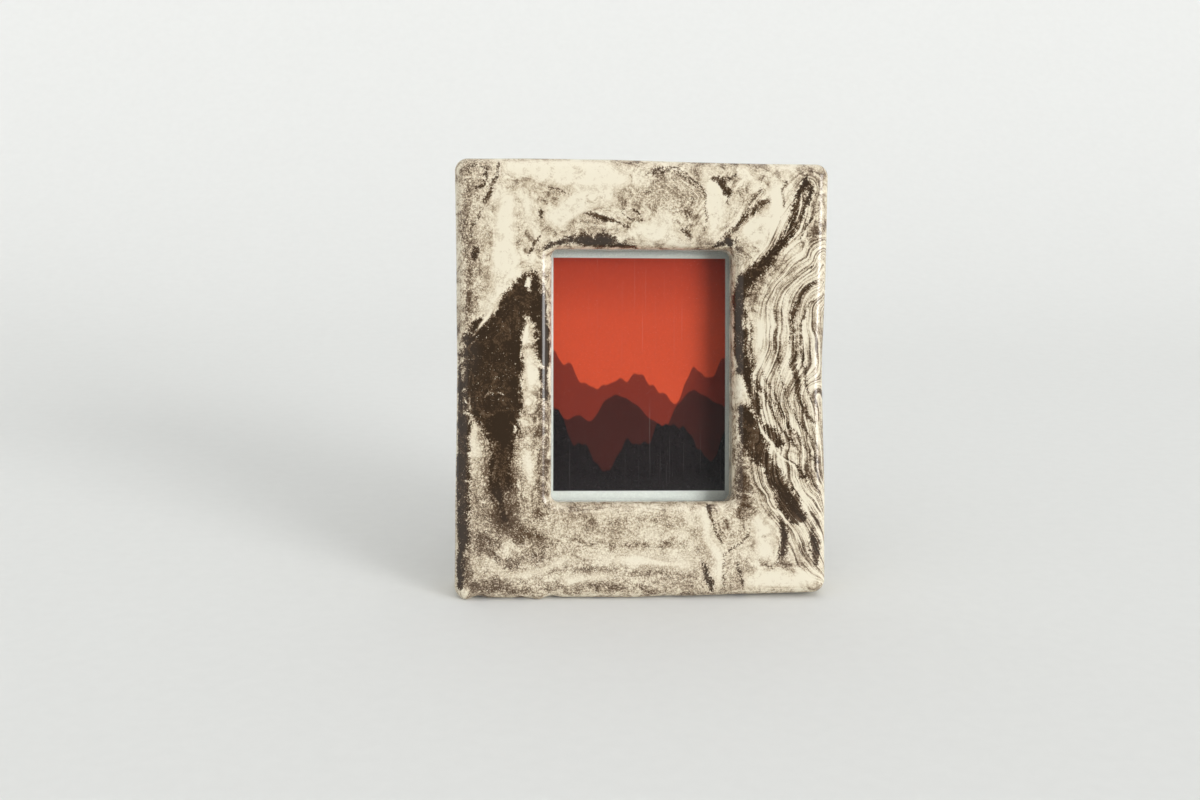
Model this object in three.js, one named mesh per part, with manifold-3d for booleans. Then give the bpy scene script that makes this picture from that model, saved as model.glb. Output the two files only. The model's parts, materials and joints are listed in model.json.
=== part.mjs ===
// A table photo frame of marbled, glazed clay: a hand-built ceramic body with a rabbet in its back that takes
// a pane, an instant print, a filler card and a backing board, held in by four turn buttons, and an easel
// strut on a stop hinge that props the frame at its lean.
// Millimetres, +Z up, front towards -Y. The origin is on the table, in the middle of the ceramic foot.
import * as THREE from "three";
import { mergeVertices } from "three/addons/utils/BufferGeometryUtils.js";
import Module from "manifold-3d";

const wasm = await Module();
wasm.setup();

// Clearances
const SEAT_GAP = 0.3; // between faces that rest on each other
const RUNNING_GAP = 0.25; // round a pin that turns in its bore
const SHANK_GAP = 0.3; // round a shank in its hole
const SHEET_GAP = 0.4; // round the edge of a sheet in the rabbet
const PRINT_GAP = 0.75; // round the print in the rabbet

// Instant print
const PICTURE_WIDTH = 46;
const PICTURE_HEIGHT = 62;
const PRINT_SIDE_BORDER = 4;
const PRINT_TOP_BORDER = 7;
const PRINT_FOOT_BORDER = 17;
const PRINT_THICKNESS = 0.5;
const PRINT_CORNER = 2;

// Other sheets in the rabbet
const PANE_THICKNESS = 2;
const PANE_SEAM = 0.25; // ground chamfer round the pane
const CARD_THICKNESS = 1.3;
const BOARD_THICKNESS = 3;
const SHEET_CORNER = 1;
const NOTCH_RADIUS = 6; // thumb notch in the board's top edge
const NOTCH_DEPTH = 4;

// Ceramic body
const SIDE_WALL = 20.85; // clay outside the rabbet, at each side
const TOP_WALL = 17.1; // above it
const FOOT_WALL = 9.3; // below it
const LIP_THICKNESS = 8; // clay in front of the pane
const SIDE_REVEAL = 0.75; // print border that shows beside the picture
const TOP_REVEAL = 1.75; // above it
const FOOT_REVEAL = 2.4; // below it
const OUTLINE_CORNER = 3.4; // corner radius of the outline
const FRONT_ROUND = 2.9; // roundover of the outer front edge
const BACK_ROUND = 1.4; // roundover of the outer back edge
const FACE_CROWN = 0.5; // how far the face swells between its edges
const WINDOW_CORNER = 2;
const WINDOW_ROUND = 3.2; // roundover of the window's mouth
const LEAN = THREE.MathUtils.degToRad(13);
const FOOT_DROP = 2.6; // how far the front of the underside hangs below its back edge

// How far each edge of the hand-cut slab strays outwards, at even steps from the left or the foot
const TOP_STRAY = [0.2, 0.4, 0.1, -0.3, -0.4];
const FOOT_STRAY = [0.3, 0.3, 0.4, -0.1, -0.7];
const LEFT_STRAY = [0.4, 0.15, -0.25, -0.05, 0.4];
const RIGHT_STRAY = [-0.15, -0.2, -0.8, 0, 0.65];

// Turn buttons, their screws and plugs
const BUTTON_THICKNESS = 1;
const BUTTON_EDGE = 0.2; // chamfer of the pressed edge
const BUTTON_REACH = 11; // pivot to the centre of the tip
const BUTTON_HEEL_RADIUS = 4;
const BUTTON_TIP_RADIUS = 2.8;
const BUTTON_SETBACK = 5.5; // pivot outside the rabbet's wall
const BUTTON_SPREAD = 50; // upper pivots above the lower ones
const SCREW_SHANK_RADIUS = 1.4;
const SCREW_HEAD_RADIUS = 2.8;
const SCREW_HEAD_HEIGHT = 1.5;
const SCREW_LENGTH = 7.5; // under the head
const SCREW_POINT = 1.8; // length of the cone at the tip
const PLUG_WALL = 1;
const PLUG_BEYOND = 1.4; // plug past the screw's tip

// Easel strut and its stop hinge
const HINGE_RISE = 14; // axis above the middle of the board
const STRUT_OPEN = THREE.MathUtils.degToRad(22);
const STRUT_THICKNESS = 3;
const STRUT_TOP_WIDTH = 24;
const STRUT_FOOT_WIDTH = 32;
const PIN_RADIUS = 1;
const PIN_HEAD_RADIUS = 1.6;
const PIN_HEAD_LENGTH = 0.7;
const LEAF_THICKNESS = 0.8;
const LEAF_WIDTH = 22;
const LEAF_LENGTH = 12; // past the knuckles
const LEAF_CORNER = 2;
const CENTRE_KNUCKLE = 8; // width of the strut leaf's knuckle
const STOP_LENGTH = 5; // stop tongue above the knuckle
const RIVET_RADIUS = 1;
const RIVET_HEAD_RADIUS = 2;
const RIVET_HEAD_HEIGHT = 0.9;
const RIVET_SIDE = 4; // rivet to the leaf's side edge
const RIVET_END = 4.5; // rivet to the leaf's free end

// Facets
const ROUND_STEPS = 5; // along a roundover
const FACE_STEPS = 4; // across the crowned face
const CORNER_STEPS = 5; // round each corner of a ring
const EDGE_STEPS = 11; // along each straight side of a ring
const TURN_STEPS = 20; // round a turned piece
const DOME_STEPS = 4; // up a domed head
const ARC_STEPS = 8; // along an arc of a flat outline

// Sizes that follow from the ones above. In the body's own frame the back face is y = 0, the front is towards -y,
// and the back edge of the foot is z = 0.
const PRINT_WIDTH = PICTURE_WIDTH + 2 * PRINT_SIDE_BORDER;
const PRINT_HEIGHT = PICTURE_HEIGHT + PRINT_TOP_BORDER + PRINT_FOOT_BORDER;
const RABBET_WIDTH = PRINT_WIDTH + 2 * PRINT_GAP;
const RABBET_HEIGHT = PRINT_HEIGHT + 2 * PRINT_GAP;
const RABBET_DEPTH = PANE_THICKNESS + PRINT_THICKNESS + CARD_THICKNESS + BOARD_THICKNESS + 4 * SEAT_GAP;
const RABBET_CENTRE = FOOT_WALL + RABBET_HEIGHT / 2 - FOOT_DROP;
const FRAME_WIDTH = RABBET_WIDTH + 2 * SIDE_WALL;
const FRAME_HEIGHT = RABBET_HEIGHT + TOP_WALL + FOOT_WALL;
const FRAME_DEPTH = LIP_THICKNESS + RABBET_DEPTH;
const FRAME_CENTRE = FRAME_HEIGHT / 2 - FOOT_DROP;
const PICTURE_CENTRE = RABBET_CENTRE + (PRINT_FOOT_BORDER - PRINT_TOP_BORDER) / 2;
const WINDOW_WIDTH = PICTURE_WIDTH + 2 * SIDE_REVEAL;
const WINDOW_HEIGHT = PICTURE_HEIGHT + TOP_REVEAL + FOOT_REVEAL;
const WINDOW_CENTRE = PICTURE_CENTRE + (TOP_REVEAL - FOOT_REVEAL) / 2;
const FOOT_DEPTH = FOOT_DROP / Math.sin(LEAN);

const BUTTON_X = RABBET_WIDTH / 2 + BUTTON_SETBACK;
const BUTTON_TOP = SEAT_GAP + BUTTON_THICKNESS;
const SCREW_SEAT = BUTTON_TOP + SEAT_GAP;
const PLUG_BORE = SCREW_SHANK_RADIUS + SHANK_GAP;
const PLUG_RADIUS = PLUG_BORE + PLUG_WALL;
const PLUG_BOTTOM = SCREW_SEAT - SCREW_LENGTH - PLUG_BEYOND;

const KNUCKLE_BORE = PIN_RADIUS + RUNNING_GAP;
const KNUCKLE_RADIUS = KNUCKLE_BORE + LEAF_THICKNESS;
const LEAF_START = KNUCKLE_RADIUS + SEAT_GAP; // where a leaf's plate clears the other leaf's knuckles
const LEAF_END = KNUCKLE_RADIUS + LEAF_LENGTH;
const HINGE_AXIS_Y = SEAT_GAP + KNUCKLE_RADIUS;
const HINGE_AXIS_Z = RABBET_CENTRE + HINGE_RISE;
const RIVET_X = LEAF_WIDTH / 2 - RIVET_SIDE;
const RIVET_Z = LEAF_END - RIVET_END; // above or below the hinge axis

// Faces of the hinge's pieces along y, from its axis, with the strut folded
const BOARD_LEAF_OUTER = LEAF_THICKNESS - KNUCKLE_RADIUS;
const STRUT_OUTER = STRUT_THICKNESS - KNUCKLE_RADIUS;
const STRUT_LEAF_INNER = STRUT_OUTER + SEAT_GAP;
const STRUT_LEAF_OUTER = STRUT_LEAF_INNER + LEAF_THICKNESS;

// Materials
const clay = new THREE.MeshStandardMaterial({ color: 0xb9aa92, roughness: 0.12 });
const glass = new THREE.MeshStandardMaterial({ color: 0xf2f6f5, roughness: 0.02, transparent: true, opacity: 0.2 });
const printFilm = new THREE.MeshStandardMaterial({ color: 0xd8d9d2, roughness: 0.25 });
const greyCard = new THREE.MeshStandardMaterial({ color: 0x9a958b, roughness: 0.95 });
const hardboard = new THREE.MeshStandardMaterial({ color: 0x5b4534, roughness: 0.8 });
const steel = new THREE.MeshStandardMaterial({ color: 0xb9bcbd, roughness: 0.35, metalness: 1 });
const brass = new THREE.MeshStandardMaterial({ color: 0xb99552, roughness: 0.35, metalness: 1 });
const nylon = new THREE.MeshStandardMaterial({ color: 0xd9d6cc, roughness: 0.6 });

// Solids: closed meshes to and from manifold-3d, which joins and cuts them

function solidOf(geometry) {
  const bare = new THREE.BufferGeometry();
  bare.setAttribute("position", geometry.getAttribute("position").clone());
  bare.setIndex(geometry.index);
  const merged = mergeVertices(bare, 1e-4);
  const mesh = new wasm.Mesh({
    numProp: 3,
    vertProperties: merged.getAttribute("position").array,
    triVerts: new Uint32Array(merged.index.array),
  });
  return new wasm.Manifold(mesh);
}

function geometryOf(solid) {
  const mesh = solid.getMesh();
  const geometry = new THREE.BufferGeometry();
  geometry.setAttribute("position", new THREE.BufferAttribute(new Float32Array(mesh.vertProperties), 3));
  geometry.setIndex(new THREE.BufferAttribute(new Uint32Array(mesh.triVerts), 1));
  geometry.computeVertexNormals();
  return geometry;
}

const joined = (first, ...others) => others.reduce((sum, other) => sum.add(other), first);
const cut = (solid, ...tools) => tools.reduce((rest, tool) => rest.subtract(tool), solid);

// A block between two opposite corners.
function block(low, high) {
  const size = high.map((value, axis) => value - low[axis]);
  const middle = high.map((value, axis) => (value + low[axis]) / 2);
  return solidOf(new THREE.BoxGeometry(...size).translate(...middle));
}

// A round bar on the X axis between two places.
function barAlongX(radius, fromX, toX) {
  const bar = new THREE.CylinderGeometry(radius, radius, toX - fromX, TURN_STEPS);
  return solidOf(bar.rotateZ(Math.PI / 2).translate((fromX + toX) / 2, 0, 0));
}

// A round bar along Y, through the depth of the body, between two places.
function barAlongY(radius, x, z, fromY, toY) {
  const bar = new THREE.CylinderGeometry(radius, radius, toY - fromY, TURN_STEPS);
  return solidOf(bar.translate(x, (fromY + toY) / 2, z));
}

// A flat sheet of that outline in the XZ plane, from y = -thickness to y = 0, with its edges chamfered.
function sheet(shape, thickness, chamfer = 0) {
  const settings = {
    depth: thickness - 2 * chamfer,
    bevelEnabled: chamfer > 0,
    bevelThickness: chamfer,
    bevelSize: chamfer,
    bevelOffset: -chamfer,
    bevelSegments: 1,
    curveSegments: ARC_STEPS,
  };
  return new THREE.ExtrudeGeometry(shape, settings).translate(0, 0, chamfer).rotateX(Math.PI / 2);
}

// A turned piece on the Y axis, from pairs of radius and height.
function turned(profile) {
  return new THREE.LatheGeometry(profile.map(([radius, y]) => new THREE.Vector2(radius, y)), TURN_STEPS);
}

// The angles of a quarter turn.
const quarter = (steps) => Array.from({ length: steps + 1 }, (_, step) => ((step / steps) * Math.PI) / 2);

// The profile of a domed head, from its rim up to the axis.
function dome(radius, height) {
  return quarter(DOME_STEPS).map((angle) => [radius * Math.cos(angle), height * Math.sin(angle)]);
}

// A rectangle with round corners, centred on the origin.
function roundedRectangle(width, height, corner) {
  const [x, y] = [width / 2 - corner, height / 2 - corner];
  const shape = new THREE.Shape();
  shape.absarc(x, y, corner, 0, Math.PI / 2);
  shape.absarc(-x, y, corner, Math.PI / 2, Math.PI);
  shape.absarc(-x, -y, corner, Math.PI, 1.5 * Math.PI);
  shape.absarc(x, -y, corner, 1.5 * Math.PI, 2 * Math.PI);
  shape.closePath();
  return shape;
}

// The table, as a block that trims what stands on it, in the frame of the given group.
function tableIn(group) {
  const size = 4 * Math.max(FRAME_WIDTH, FRAME_HEIGHT);
  const slab = new THREE.BoxGeometry(size, size, size).translate(0, 0, -size / 2);
  group.updateWorldMatrix(true, false);
  return solidOf(slab.applyMatrix4(group.matrixWorld.clone().invert()));
}

function piece(name, geometry, material) {
  const mesh = new THREE.Mesh(geometry, material);
  mesh.name = name;
  return mesh;
}

// Ceramic body: a stack of round-cornered rings, lofted right round its section and closed on itself

// A smooth curve through the steps of one edge's stray, read at a place from -1 to 1 along the edge.
function strayAt(steps, place) {
  const curve = new THREE.SplineCurve(steps.map((stray, step) => new THREE.Vector2(step, stray)));
  return curve.getPoint(THREE.MathUtils.clamp((place + 1) / 2, 0, 1)).y;
}

// Moves a point of a true rectangle to where the hand-cut slab has it.
function strayed(point, loose) {
  const u = point.x / (FRAME_WIDTH / 2);
  const v = (point.z - FRAME_CENTRE) / (FRAME_HEIGHT / 2);
  point.x += loose * u * strayAt(u > 0 ? RIGHT_STRAY : LEFT_STRAY, v);
  point.z += loose * v * strayAt(v > 0 ? TOP_STRAY : FOOT_STRAY, u);
  return point;
}

// The points of one ring: from the upper right corner along the top, down the left, along the foot and up again.
function ringPoints({ width, height, corner, centre, y, loose }) {
  const points = [];
  const steps = CORNER_STEPS + EDGE_STEPS;
  for (let side = 0; side < 4; side++) {
    const arcX = (side === 0 || side === 3 ? 1 : -1) * (width / 2 - corner);
    const arcZ = (side < 2 ? 1 : -1) * (height / 2 - corner);
    const acrossX = side % 2 === 0 ? -2 * arcX : 0;
    const acrossZ = side % 2 === 0 ? 0 : -2 * arcZ;
    for (let step = 0; step < steps; step++) {
      const angle = (Math.PI / 2) * (side + Math.min(step / CORNER_STEPS, 1));
      const along = Math.max(step - CORNER_STEPS, 0) / EDGE_STEPS;
      const x = arcX + acrossX * along + corner * Math.cos(angle);
      const z = arcZ + acrossZ * along + corner * Math.sin(angle);
      points.push(strayed(new THREE.Vector3(x, y, centre + z), loose));
    }
  }
  return points;
}

const windowRing = (outset, y) => ({
  width: WINDOW_WIDTH + 2 * outset,
  height: WINDOW_HEIGHT + 2 * outset,
  corner: WINDOW_CORNER + outset,
  centre: WINDOW_CENTRE,
  y,
  loose: 0,
});

const outlineRing = (inset, y) => ({
  width: FRAME_WIDTH - 2 * inset,
  height: FRAME_HEIGHT - 2 * inset,
  corner: Math.max(OUTLINE_CORNER - inset, SEAT_GAP),
  centre: FRAME_CENTRE,
  y,
  loose: 1,
});

const rabbetRing = (y) => ({
  width: RABBET_WIDTH,
  height: RABBET_HEIGHT,
  corner: SHEET_CORNER,
  centre: RABBET_CENTRE,
  y,
  loose: 0,
});

// A ring part of the way from one ring to another.
function ringBetween(from, to, share) {
  const ring = {};
  for (const key of Object.keys(from)) ring[key] = THREE.MathUtils.lerp(from[key], to[key], share);
  return ring;
}

function bodyRings() {
  const front = -FRAME_DEPTH;
  const mouth = quarter(ROUND_STEPS).map((angle) =>
    windowRing(WINDOW_ROUND * (1 - Math.cos(angle)), front + WINDOW_ROUND * (1 - Math.sin(angle))),
  );
  const shoulder = quarter(ROUND_STEPS).map((angle) =>
    outlineRing(FRONT_ROUND * (1 - Math.sin(angle)), front + FRONT_ROUND * (1 - Math.cos(angle))),
  );
  const face = [];
  for (let step = 1; step < FACE_STEPS; step++) {
    const share = step / FACE_STEPS;
    const ring = ringBetween(mouth.at(-1), shoulder[0], share);
    face.push({ ...ring, y: front - FACE_CROWN * Math.sin(Math.PI * share) });
  }
  const heel = quarter(ROUND_STEPS).map((angle) =>
    outlineRing(BACK_ROUND * (1 - Math.cos(angle)), BACK_ROUND * (Math.sin(angle) - 1)),
  );
  const wall = ringBetween(shoulder.at(-1), heel[0], 0.5);
  const back = ringBetween(heel.at(-1), rabbetRing(0), 0.5);
  const rabbet = [rabbetRing(0), rabbetRing(-RABBET_DEPTH), windowRing(0, -RABBET_DEPTH)];
  return [...mouth, ...face, ...shoulder, wall, ...heel, back, ...rabbet];
}

// Skins a stack of rings and joins the last ring to the first.
function loftedLoop(rings) {
  const loops = rings.map(ringPoints);
  const count = loops[0].length;
  const index = [];
  loops.forEach((_, ring) => {
    const next = (ring + 1) % loops.length;
    for (let point = 0; point < count; point++) {
      const after = (point + 1) % count;
      const [a, b] = [ring * count + point, ring * count + after];
      const [c, d] = [next * count + point, next * count + after];
      index.push(a, c, b, b, c, d);
    }
  });
  const geometry = new THREE.BufferGeometry().setFromPoints(loops.flat());
  geometry.setIndex(index);
  return geometry;
}

function buttonPlaces() {
  const places = [];
  for (const [level, up] of [["upper", 1], ["lower", -1]]) {
    for (const [hand, side] of [["left", -1], ["right", 1]]) {
      const z = RABBET_CENTRE + (up * BUTTON_SPREAD) / 2;
      places.push({ name: `${level}_${hand}`, side, x: side * BUTTON_X, z });
    }
  }
  return places;
}

function ceramicFrame(group) {
  const plugHoles = buttonPlaces().map(({ x, z }) =>
    barAlongY(PLUG_RADIUS + SHANK_GAP, x, z, PLUG_BOTTOM - SEAT_GAP, SEAT_GAP),
  );
  const body = cut(solidOf(loftedLoop(bodyRings())), tableIn(group), ...plugHoles);
  return piece("ceramic_frame", geometryOf(body), clay);
}

// Sheets in the rabbet, from the pane back to the board

function sheetOutline() {
  return roundedRectangle(RABBET_WIDTH - 2 * SHEET_GAP, RABBET_HEIGHT - 2 * SHEET_GAP, SHEET_CORNER);
}

// The holes of two rivets, through what lies between two depths.
function rivetHoles(z, fromY, toY) {
  return [-RIVET_X, RIVET_X].map((x) => barAlongY(RIVET_RADIUS + SHANK_GAP, x, z, fromY - SEAT_GAP, toY + SEAT_GAP));
}

function backingBoard() {
  const top = RABBET_HEIGHT / 2 - SHEET_GAP;
  const notchZ = top + NOTCH_RADIUS - NOTCH_DEPTH;
  const notch = barAlongY(NOTCH_RADIUS, 0, notchZ, -BOARD_THICKNESS - SEAT_GAP, SEAT_GAP);
  const holes = rivetHoles(HINGE_RISE + RIVET_Z, -BOARD_THICKNESS, 0);
  const board = cut(solidOf(sheet(sheetOutline(), BOARD_THICKNESS)), notch, ...holes);
  return piece("backing_board", geometryOf(board), hardboard);
}

function rabbetSheets() {
  const printOutline = roundedRectangle(PRINT_WIDTH, PRINT_HEIGHT, PRINT_CORNER);
  const stack = [
    [backingBoard(), BOARD_THICKNESS],
    [piece("filler_card", sheet(sheetOutline(), CARD_THICKNESS), greyCard), CARD_THICKNESS],
    [piece("photo_print", sheet(printOutline, PRINT_THICKNESS), printFilm), PRINT_THICKNESS],
    [piece("glass_pane", sheet(sheetOutline(), PANE_THICKNESS, PANE_SEAM), glass), PANE_THICKNESS],
  ];
  let back = 0;
  return stack.map(([mesh, thickness]) => {
    mesh.position.set(0, back, RABBET_CENTRE);
    back -= thickness + SEAT_GAP;
    return mesh;
  });
}

// Turn buttons, with their screws and plugs

// A teardrop tab with its pivot hole at the origin, reaching along +X.
function buttonOutline() {
  const tangent = Math.acos((BUTTON_HEEL_RADIUS - BUTTON_TIP_RADIUS) / BUTTON_REACH);
  const shape = new THREE.Shape();
  shape.absarc(0, 0, BUTTON_HEEL_RADIUS, tangent, 2 * Math.PI - tangent);
  shape.absarc(BUTTON_REACH, 0, BUTTON_TIP_RADIUS, -tangent, tangent);
  shape.closePath();
  const hole = new THREE.Path();
  hole.absarc(0, 0, SCREW_SHANK_RADIUS + SHANK_GAP, 0, 2 * Math.PI, true);
  shape.holes.push(hole);
  return shape;
}

function screwGeometry() {
  return turned([
    [0, -SCREW_LENGTH],
    [SCREW_SHANK_RADIUS, SCREW_POINT - SCREW_LENGTH],
    [SCREW_SHANK_RADIUS, 0],
    ...dome(SCREW_HEAD_RADIUS, SCREW_HEAD_HEIGHT),
  ]);
}

function plugGeometry() {
  return turned([
    [PLUG_BORE, PLUG_BOTTOM],
    [PLUG_RADIUS, PLUG_BOTTOM],
    [PLUG_RADIUS, -SEAT_GAP],
    [PLUG_BORE, -SEAT_GAP],
    [PLUG_BORE, PLUG_BOTTOM],
  ]);
}

function turnButtons() {
  return buttonPlaces().flatMap(({ name, side, x, z }) => {
    const button = piece(`turn_button_${name}`, sheet(buttonOutline(), BUTTON_THICKNESS, BUTTON_EDGE), brass);
    button.position.set(x, BUTTON_TOP, z);
    button.rotation.y = side > 0 ? Math.PI : 0;
    const screw = piece(`turn_screw_${name}`, screwGeometry(), brass);
    screw.position.set(x, SCREW_SEAT, z);
    const plug = piece(`screw_plug_${name}`, plugGeometry(), nylon);
    plug.position.set(x, 0, z);
    return [button, screw, plug];
  });
}

// Stop hinge: both leaves and the pin, about the X axis of the hinge's own frame

// A leaf's plate above the axis, with its free corners rounded, from y = -thickness to y = 0.
function leafPlate() {
  const [x, z] = [LEAF_WIDTH / 2, LEAF_END - LEAF_CORNER];
  const shape = new THREE.Shape();
  shape.moveTo(-x, LEAF_START);
  shape.lineTo(x, LEAF_START);
  shape.absarc(x - LEAF_CORNER, z, LEAF_CORNER, 0, Math.PI / 2);
  shape.absarc(LEAF_CORNER - x, z, LEAF_CORNER, Math.PI / 2, Math.PI);
  shape.closePath();
  return sheet(shape, LEAF_THICKNESS);
}

// The leaf on the board: a plate above the axis, rolled into a knuckle at each end of the pin.
function boardLeaf() {
  const edge = LEAF_WIDTH / 2;
  const inner = CENTRE_KNUCKLE / 2 + SEAT_GAP;
  const solids = [solidOf(leafPlate().translate(0, BOARD_LEAF_OUTER, 0))];
  for (const [from, to] of [[-edge, -inner], [inner, edge]]) {
    const neck = block([from, -KNUCKLE_RADIUS, 0], [to, BOARD_LEAF_OUTER, LEAF_START + LEAF_THICKNESS]);
    solids.push(neck, barAlongX(KNUCKLE_RADIUS, from, to));
  }
  const bore = barAlongX(KNUCKLE_BORE, -LEAF_WIDTH, LEAF_WIDTH);
  const leaf = cut(joined(...solids), bore, ...rivetHoles(RIVET_Z, -KNUCKLE_RADIUS, BOARD_LEAF_OUTER));
  return piece("hinge_board_leaf", geometryOf(leaf), steel);
}

// The strut's leaf, drawn folded: a plate below the axis on the strut's outer face, the middle knuckle, and a stop
// tongue that comes to bear on the board's leaf when the strut is open.
function strutLeaf() {
  const edge = CENTRE_KNUCKLE / 2;
  const plate = solidOf(leafPlate().rotateY(Math.PI).translate(0, STRUT_LEAF_OUTER, 0));
  const neck = block([-edge, STRUT_LEAF_INNER, -LEAF_START - LEAF_THICKNESS], [edge, STRUT_LEAF_OUTER, 0]);
  const web = block([-edge, 0, -LEAF_THICKNESS], [edge, STRUT_LEAF_OUTER, 0]);
  const knuckle = barAlongX(KNUCKLE_RADIUS, -edge, edge);
  const stopInner = BOARD_LEAF_OUTER + SEAT_GAP;
  const stopFoot = (KNUCKLE_BORE + KNUCKLE_RADIUS) / 2;
  const stop = block(
    [-edge, stopInner, stopFoot],
    [edge, stopInner + LEAF_THICKNESS, KNUCKLE_RADIUS + STOP_LENGTH],
  ).rotate([-THREE.MathUtils.radToDeg(STRUT_OPEN), 0, 0]);
  const bore = barAlongX(KNUCKLE_BORE, -LEAF_WIDTH, LEAF_WIDTH);
  const holes = rivetHoles(-RIVET_Z, STRUT_LEAF_INNER, STRUT_LEAF_OUTER);
  const leaf = cut(joined(knuckle, plate, neck, web, stop), bore, ...holes);
  return piece("hinge_strut_leaf", geometryOf(leaf), steel);
}

function hingePin() {
  const seat = LEAF_WIDTH / 2 + SEAT_GAP;
  const end = seat + PIN_HEAD_LENGTH;
  const pin = turned([
    [0, -end],
    [PIN_HEAD_RADIUS, -end],
    [PIN_HEAD_RADIUS, -seat],
    [PIN_RADIUS, -seat],
    [PIN_RADIUS, seat],
    [PIN_HEAD_RADIUS, seat],
    [PIN_HEAD_RADIUS, end],
    [0, end],
  ]);
  return piece("hinge_pin", pin.rotateZ(Math.PI / 2), steel);
}

// The leg: a tapered board below the axis, drawn folded and trimmed level with the table in its open place.
function easelStrut(group) {
  const reach = (HINGE_AXIS_Z + KNUCKLE_RADIUS) / Math.cos(STRUT_OPEN - LEAN);
  const outline = new THREE.Shape([
    new THREE.Vector2(-STRUT_TOP_WIDTH / 2, -LEAF_START),
    new THREE.Vector2(-STRUT_FOOT_WIDTH / 2, -reach),
    new THREE.Vector2(STRUT_FOOT_WIDTH / 2, -reach),
    new THREE.Vector2(STRUT_TOP_WIDTH / 2, -LEAF_START),
  ]);
  const leg = solidOf(sheet(outline, STRUT_THICKNESS).translate(0, STRUT_OUTER, 0));
  const holes = rivetHoles(-RIVET_Z, STRUT_OUTER - STRUT_THICKNESS, STRUT_OUTER);
  return piece("easel_strut", geometryOf(cut(leg, tableIn(group), ...holes)), hardboard);
}

// Two domed rivets whose heads sit on a leaf's face and whose shanks end in the board behind it.
function rivets(prefix, face, z, boardThickness) {
  const length = LEAF_THICKNESS + SEAT_GAP + boardThickness;
  return [["left", -RIVET_X], ["right", RIVET_X]].map(([hand, x]) => {
    const shank = [[0, -length], [RIVET_RADIUS, -length], [RIVET_RADIUS, 0]];
    const head = dome(RIVET_HEAD_RADIUS, RIVET_HEAD_HEIGHT);
    const mesh = piece(`${prefix}_rivet_${hand}`, turned([...shank, ...head]), steel);
    mesh.position.set(x, face + SEAT_GAP, z);
    return mesh;
  });
}

// Assembly: the body and all it holds lean back together, and the strut swings on the hinge's axis

const photoFrame = new THREE.Group();
const leaningBody = new THREE.Group();
leaningBody.position.y = FOOT_DEPTH / 2;
leaningBody.rotation.x = -LEAN;
photoFrame.add(leaningBody);

const hinge = new THREE.Group();
hinge.position.set(0, HINGE_AXIS_Y, HINGE_AXIS_Z);
leaningBody.add(hinge);

const openStrut = new THREE.Group();
openStrut.rotation.x = STRUT_OPEN;
hinge.add(openStrut);

leaningBody.add(ceramicFrame(leaningBody), ...rabbetSheets(), ...turnButtons());
hinge.add(boardLeaf(), hingePin(), ...rivets("board", BOARD_LEAF_OUTER, RIVET_Z, BOARD_THICKNESS));
openStrut.add(easelStrut(openStrut), strutLeaf());
openStrut.add(...rivets("strut", STRUT_LEAF_OUTER, -RIVET_Z, STRUT_THICKNESS));

export default photoFrame;
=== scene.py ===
"""The looks of a table photo frame of marbled, glazed clay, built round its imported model.

The file is laid out as an add-on. Sizes and colours are properties, each piece or group of like pieces has an
operator, and one panel in the 3D view's sidebar lists them. Metres, +Z up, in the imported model's own frame.
"""

import json
import math
from collections import namedtuple

import bmesh
import bpy
import numpy as np
from bpy.props import FloatProperty, FloatVectorProperty, PointerProperty
from mathutils import Matrix, Vector, noise


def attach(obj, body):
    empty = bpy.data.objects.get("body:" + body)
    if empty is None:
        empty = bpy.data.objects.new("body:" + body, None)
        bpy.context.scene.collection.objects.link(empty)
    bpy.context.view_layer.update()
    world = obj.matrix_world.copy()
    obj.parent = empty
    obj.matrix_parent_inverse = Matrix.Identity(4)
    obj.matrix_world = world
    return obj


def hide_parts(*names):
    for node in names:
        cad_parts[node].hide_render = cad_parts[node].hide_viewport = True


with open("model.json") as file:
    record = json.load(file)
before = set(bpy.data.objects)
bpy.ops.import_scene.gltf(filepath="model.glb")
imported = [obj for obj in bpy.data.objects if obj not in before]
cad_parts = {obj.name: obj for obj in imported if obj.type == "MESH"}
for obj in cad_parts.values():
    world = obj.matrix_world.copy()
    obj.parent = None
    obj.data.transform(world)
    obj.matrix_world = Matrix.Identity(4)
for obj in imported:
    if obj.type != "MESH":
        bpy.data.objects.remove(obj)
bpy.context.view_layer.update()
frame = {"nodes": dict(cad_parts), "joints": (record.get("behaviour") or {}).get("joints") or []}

bl_info = {
    "name": "Marbled Clay Photo Frame",
    "version": (1, 0, 0),
    "blender": (4, 5, 0),
    "location": "View3D > Sidebar > Photo Frame",
    "description": "Builds the pieces of a marbled clay photo frame and a studio to see it in",
    "category": "Object",
}

MM = 0.001


# Places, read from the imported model


def joint(name):
    """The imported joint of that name."""
    return next(each for each in frame["joints"] if each["name"] == name)


BACK_NORMAL = Vector(joint("turn_upper_left")["axis"])
LEAN = math.atan2(-BACK_NORMAL.z, BACK_NORMAL.y)
BACK_PLANE = max(vertex.co.dot(BACK_NORMAL) for vertex in frame["nodes"]["backing_board"].data.vertices)
STRUT_OPEN = -math.radians(joint("strut_fold")["range_deg"][0])

# The body leans back about the back edge of its foot: in its own axes the back is y = 0 and the front is -y
LEANING = Matrix.Translation((0, BACK_PLANE / BACK_NORMAL.y, 0)) @ Matrix.Rotation(-LEAN, 4, "X")
HINGE = Matrix.Translation(joint("strut_fold")["pos_m"]) @ Matrix.Rotation(-LEAN, 4, "X")
OPEN_STRUT = HINGE @ Matrix.Rotation(STRUT_OPEN, 4, "X")
UNMOVED = Matrix.Identity(4)


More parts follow.
